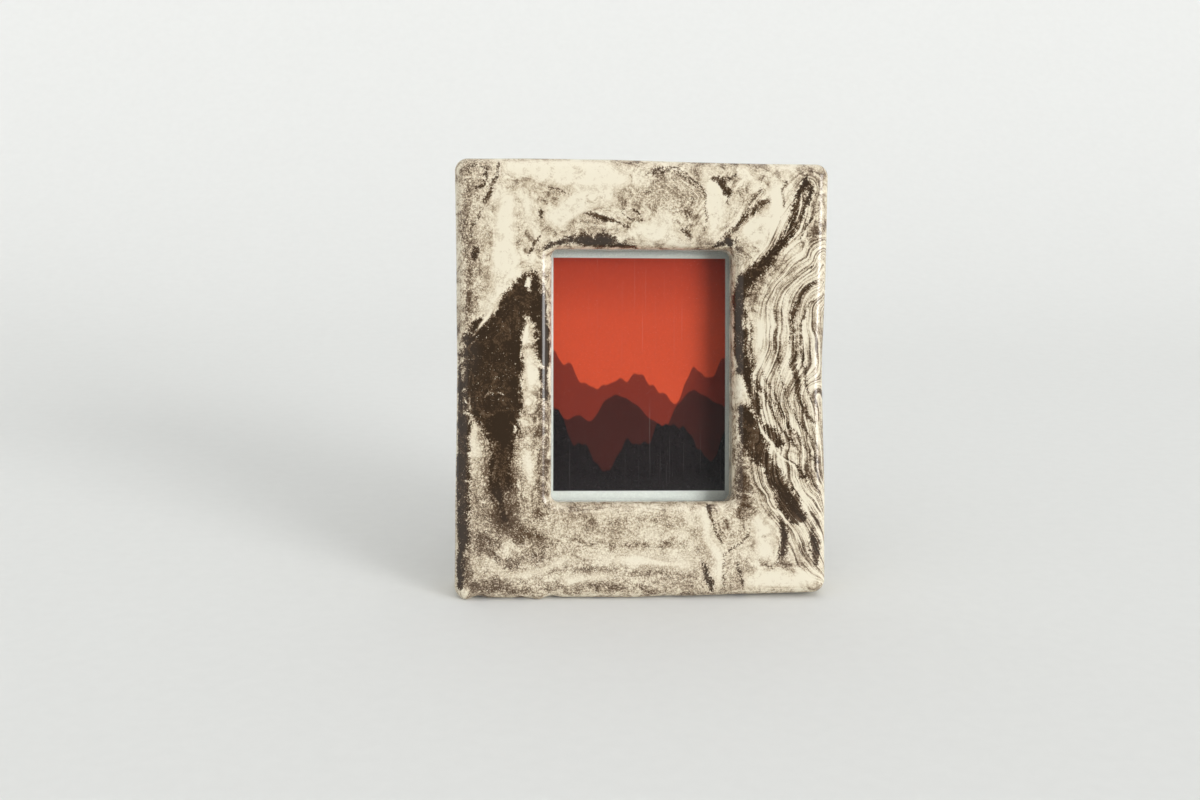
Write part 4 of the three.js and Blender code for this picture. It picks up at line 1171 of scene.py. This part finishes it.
def build_stop_hinge(settings):
    """Both leaves, the pin and the four rivets."""
    hardware = settings.hardware
    zinc = new_material("Zinc plated steel", plated_metal, hardware.zinc, 0.34, 5 * MM)
    board_leaf = box_in(HINGE, "hinge_board_leaf")
    strut_leaf = box_in(OPEN_STRUT, "hinge_strut_leaf")
    pin = box_in(HINGE, "hinge_pin")
    radius, edge = -board_leaf.low.y, board_leaf.high.x
    half = hardware.middle_knuckle / 2
    gap = half + hardware.seat

    leaf = rolled_leaf(hardware, (-edge, -gap, gap, edge), (0, 2), board_leaf.high.z, radius, 1)
    finished(leaf, "board_leaf", HINGE, "frame", "hinge_board_leaf", "hinge_steel", zinc)

    # The strut's leaf has a tongue that bears on the board's leaf when the strut stands open
    leaf = rolled_leaf(hardware, (-edge, -half, half, edge), (1,), -strut_leaf.low.z, radius, -1)
    under = hardware.sheet_steel - radius + hardware.seat
    low = Vector((-half, under, radius - hardware.sheet_steel / 2))
    high = Vector((half, under + hardware.sheet_steel, radius + hardware.stop))
    stop = plate(Box(low, high))
    softened(stop, 0.15 * MM, 2)
    bmesh.ops.rotate(stop, verts=stop.verts, matrix=Matrix.Rotation(-STRUT_OPEN, 3, "X"))
    leaf = combined(leaf, stop, "UNION")
    finished(leaf, "strut_leaf", OPEN_STRUT, "strut", "hinge_strut_leaf", "hinge_steel", zinc)

    shoulder = pin.high.x - hardware.pin_head
    profile = arc(shoulder, pin.high.z, hardware.pin_head, math.pi / 2, 0, 6)
    profile.append((hardware.pin_radius, shoulder))
    profile += [(wide, -y) for wide, y in reversed(profile)]
    lying = HINGE @ Matrix.Rotation(math.pi / 2, 4, "Z")
    finished(turned(profile), "hinge_axle", lying, "frame", "hinge_pin", "hinge_steel", zinc)

    for place, body, nodes in ((HINGE, "frame", BOARD_RIVETS), (OPEN_STRUT, "strut", STRUT_RIVETS)):
        for node in nodes:
            box = box_in(place, node)
            head = box.half.x
            face = box.high.y - RIVET_RISE
            dome = arc(face, head, RIVET_RISE, 0, math.pi / 2, 8)
            mesh = turned([(0, box.low.y), (head / 2, box.low.y), (head / 2, face), *dome], 36)
            where = place @ Matrix.Translation(box.pivot)
            finished(mesh, node.replace("rivet", "stud"), where, body, node, "hinge_steel", zinc)


# Turn buttons

# Each button, the turn of its tab and the turn of its screw's slot
TURN_BUTTONS = (
    ("upper_left", 0, -0.2),
    ("upper_right", math.pi, 1.2),
    ("lower_left", 0, 0.9),
    ("lower_right", math.pi, 2.3),
)

# A tab's rim, how far its face lies below it and over what width it drops
TAB_RIM, TAB_DROP, TAB_SLOPE = 0.9 * MM, 0.15 * MM, 0.2 * MM

# Height of a screw's head, of the straight rim of the head and of its point
SCREW_RISE, SCREW_RIM, SCREW_POINT = 1.5 * MM, 0.3 * MM, 1.8 * MM


def tab_mesh(hardware, reach, thickness):
    """A teardrop tab from its pivot at the origin along +X, up from y = 0, with a raised rim."""
    mesh = bmesh.new()
    for centre, radius in ((0, hardware.tab_heel), (reach, hardware.tab_tip)):
        for height in (0, thickness):
            where = Matrix.Translation((centre, height, 0)) @ ALONG_Y
            bmesh.ops.create_circle(mesh, segments=48, radius=radius, matrix=where)
    bmesh.ops.convex_hull(mesh, input=mesh.verts[:])
    bmesh.ops.delete(mesh, geom=[vert for vert in mesh.verts if not vert.link_faces], context="VERTS")
    bmesh.ops.delete(mesh, geom=[edge for edge in mesh.edges if not edge.link_faces], context="EDGES")
    flats_joined(mesh)
    top = max(mesh.faces, key=lambda face: face.calc_center_median().y)
    bmesh.ops.inset_region(mesh, faces=[top], thickness=TAB_RIM, depth=0)
    bmesh.ops.inset_region(mesh, faces=[top], thickness=TAB_SLOPE, depth=-TAB_DROP)
    softened(mesh, 0.2 * MM, 3)
    return mesh


def screw_mesh(hardware, box):
    """A slotted, domed screw along Y with its pointed shank."""
    head = box.half.x
    shank = head / 2
    face = box.high.y - SCREW_RISE
    profile = [(0, box.low.y), (shank, box.low.y + SCREW_POINT), (shank, face), (head, face)]
    profile += arc(face + SCREW_RIM, head, SCREW_RISE - SCREW_RIM, 0, math.pi / 2, 10)
    slot = bmesh.new()
    size = Matrix.Diagonal((3 * head, hardware.slot_depth * 2, hardware.slot_width, 1))
    bmesh.ops.create_cube(slot, size=1, matrix=Matrix.Translation((0, box.high.y, 0)) @ size)
    return combined(turned(profile), slot, "DIFFERENCE")


def build_turn_buttons(settings):
    """Four brass tabs, the screws that they swivel on and the nylon plugs that hold those."""
    hardware = settings.hardware
    brass = new_material("Satin brass plate", plated_metal, hardware.brass, 0.3, 4 * MM)
    nylon = new_material("Moulded nylon", moulded_nylon, hardware)
    for name, tab_turn, slot_turn in TURN_BUTTONS:
        screw_node, tab_node = f"turn_screw_{name}", f"turn_button_{name}"
        screw, tab = box_in(LEANING, screw_node), box_in(LEANING, tab_node)
        reach = tab.high.x - tab.low.x - hardware.tab_heel - hardware.tab_tip
        mesh = tab_mesh(hardware, reach, tab.high.y - tab.low.y)
        lifted = Matrix.Translation(screw.pivot + Vector((0, tab.low.y, 0)))
        where = LEANING @ lifted @ Matrix.Rotation(tab_turn, 4, "Y")
        finished(mesh, f"swivel_tab_{name}", where, f"button_{name}", tab_node, "button_brass", brass)
        mesh = screw_mesh(hardware, screw)
        where = LEANING @ Matrix.Translation(screw.pivot) @ Matrix.Rotation(slot_turn, 4, "Y")
        finished(mesh, f"tab_screw_{name}", where, "frame", screw_node, "button_brass", brass)
        plug = frame["nodes"][f"screw_plug_{name}"]
        plug.data.materials.clear()
        plug.data.materials.append(nylon)


# Stage

# How far the paper reaches, how far behind the frame it turns up, how high it goes and how wide its bend is
PAPER_REACH, PAPER_BACK, PAPER_HEIGHT, PAPER_BEND = 10, 0.8, 2.5, 0.5

# The walls pass into the ceiling between these sines of the height over the horizon
WALL_TOP, CEILING_EDGE = 0.1, 0.5

# Width of the camera's sensor, in millimetres, and the nearest that it sees
SENSOR_WIDTH = 36
NEAREST = 10 * MM


def paint_room(stage, window_way):
    """The world as a room: pale walls, a dim far end that the pane mirrors and a bright window."""
    world = bpy.data.worlds.new("studio")
    bpy.context.scene.world = world
    world.use_nodes = True
    tree = world.node_tree
    tree.nodes.clear()
    way = add(tree, "TexCoord").outputs["Generated"]
    rise = add(tree, "SeparateXYZ", {0: way}).outputs["Z"]
    walls = {"From Min": WALL_TOP, "From Max": CEILING_EDGE, "To Min": stage.horizon, "To Max": stage.ceiling}
    bright = add(tree, "MapRange", {"Value": rise, **walls})
    skirting = math.sin(stage.skirting)
    off_floor = add(tree, "MapRange", {"Value": rise, "From Min": skirting, "From Max": 2 * skirting})
    mirrored = Vector((-stage.camera[0], stage.camera[1], -stage.camera[2])).normalized()
    patches = (
        (LEANING.to_3x3() @ mirrored, stage.far_end_core, stage.far_end_reach, stage.far_end),
        (window_way, stage.window_core, stage.window_reach, stage.window),
    )
    for middle, core, reach, brightness in patches:
        near = add(tree, "VectorMath", {0: way, 1: middle}, operation="DOT_PRODUCT")
        ends = {"From Min": math.cos(reach), "From Max": math.cos(core), "To Max": off_floor}
        share = add(tree, "MapRange", {"Value": near, **ends}, interpolation_type="SMOOTHSTEP")
        bright = add(tree, "Mix", {"Factor": share, "A": bright, "B": brightness})
    background = add(tree, "Background", {"Color": (1, 1, 1, 1), "Strength": bright})
    add(tree, "OutputWorld", {"Surface": background})


def build_stage(settings):
    """Seamless paper, a soft window light from the right, the room round it and the camera."""
    stage = settings.stage
    mesh = bmesh.new()
    ends = ((PAPER_REACH, PAPER_BACK), (-PAPER_REACH, PAPER_BACK))
    rim = (*ends, (-PAPER_REACH, -PAPER_REACH), (PAPER_REACH, -PAPER_REACH))
    verts = [mesh.verts.new((x, y, 0)) for x, y in rim]
    mesh.faces.new(verts)
    fold = mesh.edges.get(verts[:2])
    extruded(mesh, [fold], (0, 0, PAPER_HEIGHT))
    rounded(mesh, [fold], PAPER_BEND, 16)
    paper = meshed(mesh, "paper_sweep")
    paper.data.shade_smooth()
    paper.data.materials.append(new_material("Studio paper", studio_paper, stage))

    lamp = bpy.data.lights.new("window_light", "SUN")
    lamp.energy = stage.key
    lamp.angle = stage.key_spread
    window = linked("window_light", lamp)
    window.rotation_euler = (math.pi / 2 - stage.key_rise, 0, stage.key_turn)
    window.visible_glossy = False
    paint_room(stage, window.rotation_euler.to_matrix().col[2])

    lens = bpy.data.cameras.new("camera")
    lens.lens = stage.lens
    lens.sensor_width = SENSOR_WIDTH
    lens.clip_start = NEAREST
    camera = linked("camera", lens)
    stand = Matrix.Translation(picture_box(settings.print).pivot + Vector(stage.camera))
    aim = Matrix.Rotation(-stage.yaw, 4, "Z") @ Matrix.Rotation(math.pi / 2 + stage.pitch, 4, "X")
    camera.matrix_world = LEANING @ stand @ aim @ Matrix.Rotation(stage.roll, 4, "Z")
    bpy.context.scene.camera = camera
    bpy.context.scene.view_settings.view_transform = "Standard"


# Operators and panel


class PHOTOFRAME_OT_clay_body(bpy.types.Operator):
    """Build the marbled, glazed clay body"""

    bl_idname = "photo_frame.clay_body"
    bl_label = "Clay Body"

    def execute(self, context):
        build_clay_body(context.scene.photo_frame)
        return {"FINISHED"}


class PHOTOFRAME_OT_window_sheets(bpy.types.Operator):
    """Build the pane, the print and the card behind it"""

    bl_idname = "photo_frame.window_sheets"
    bl_label = "Pane, Print and Card"

    def execute(self, context):
        build_window_sheets(context.scene.photo_frame)
        return {"FINISHED"}


class PHOTOFRAME_OT_backing_board(bpy.types.Operator):
    """Build the hardboard back"""

    bl_idname = "photo_frame.backing_board"
    bl_label = "Backing Board"

    def execute(self, context):
        build_backing_board(context.scene.photo_frame)
        return {"FINISHED"}


class PHOTOFRAME_OT_easel_strut(bpy.types.Operator):
    """Build the leg that props the frame"""

    bl_idname = "photo_frame.easel_strut"
    bl_label = "Easel Strut"

    def execute(self, context):
        build_easel_strut(context.scene.photo_frame)
        return {"FINISHED"}


class PHOTOFRAME_OT_stop_hinge(bpy.types.Operator):
    """Build the hinge's leaves, pin and rivets"""

    bl_idname = "photo_frame.stop_hinge"
    bl_label = "Stop Hinge"

    def execute(self, context):
        build_stop_hinge(context.scene.photo_frame)
        return {"FINISHED"}


class PHOTOFRAME_OT_turn_buttons(bpy.types.Operator):
    """Build the turn buttons and their screws"""

    bl_idname = "photo_frame.turn_buttons"
    bl_label = "Turn Buttons"

    def execute(self, context):
        build_turn_buttons(context.scene.photo_frame)
        return {"FINISHED"}


class PHOTOFRAME_OT_stage(bpy.types.Operator):
    """Set up the paper, lights and camera"""

    bl_idname = "photo_frame.stage"
    bl_label = "Stage"

    def execute(self, context):
        build_stage(context.scene.photo_frame)
        return {"FINISHED"}


OPERATORS = (
    PHOTOFRAME_OT_stage,
    PHOTOFRAME_OT_clay_body,
    PHOTOFRAME_OT_window_sheets,
    PHOTOFRAME_OT_backing_board,
    PHOTOFRAME_OT_easel_strut,
    PHOTOFRAME_OT_stop_hinge,
    PHOTOFRAME_OT_turn_buttons,
)


class PHOTOFRAME_PT_sidebar(bpy.types.Panel):
    """Lists the pieces of the photo frame"""

    bl_label = "Photo Frame"
    bl_idname = "PHOTOFRAME_PT_sidebar"
    bl_space_type = "VIEW_3D"
    bl_region_type = "UI"
    bl_category = "Photo Frame"

    def draw(self, context):
        for operator in OPERATORS:
            self.layout.operator(operator.bl_idname)


GROUPS = (ClaySettings, PrintSettings, HardwareSettings, StageSettings, PhotoFrameSettings)
CLASSES = (*GROUPS, *OPERATORS, PHOTOFRAME_PT_sidebar)


def register():
    """Registers the classes and gives the scene its settings."""
    for each in CLASSES:
        bpy.utils.register_class(each)
    bpy.types.Scene.photo_frame = PointerProperty(type=PhotoFrameSettings)


def unregister():
    """Takes the settings and the classes away again."""
    del bpy.types.Scene.photo_frame
    for each in reversed(CLASSES):
        bpy.utils.unregister_class(each)


def main():
    register()
    for operator in OPERATORS:
        group, name = operator.bl_idname.split(".")
        getattr(getattr(bpy.ops, group), name)()


if __name__ == "__main__":
    main()
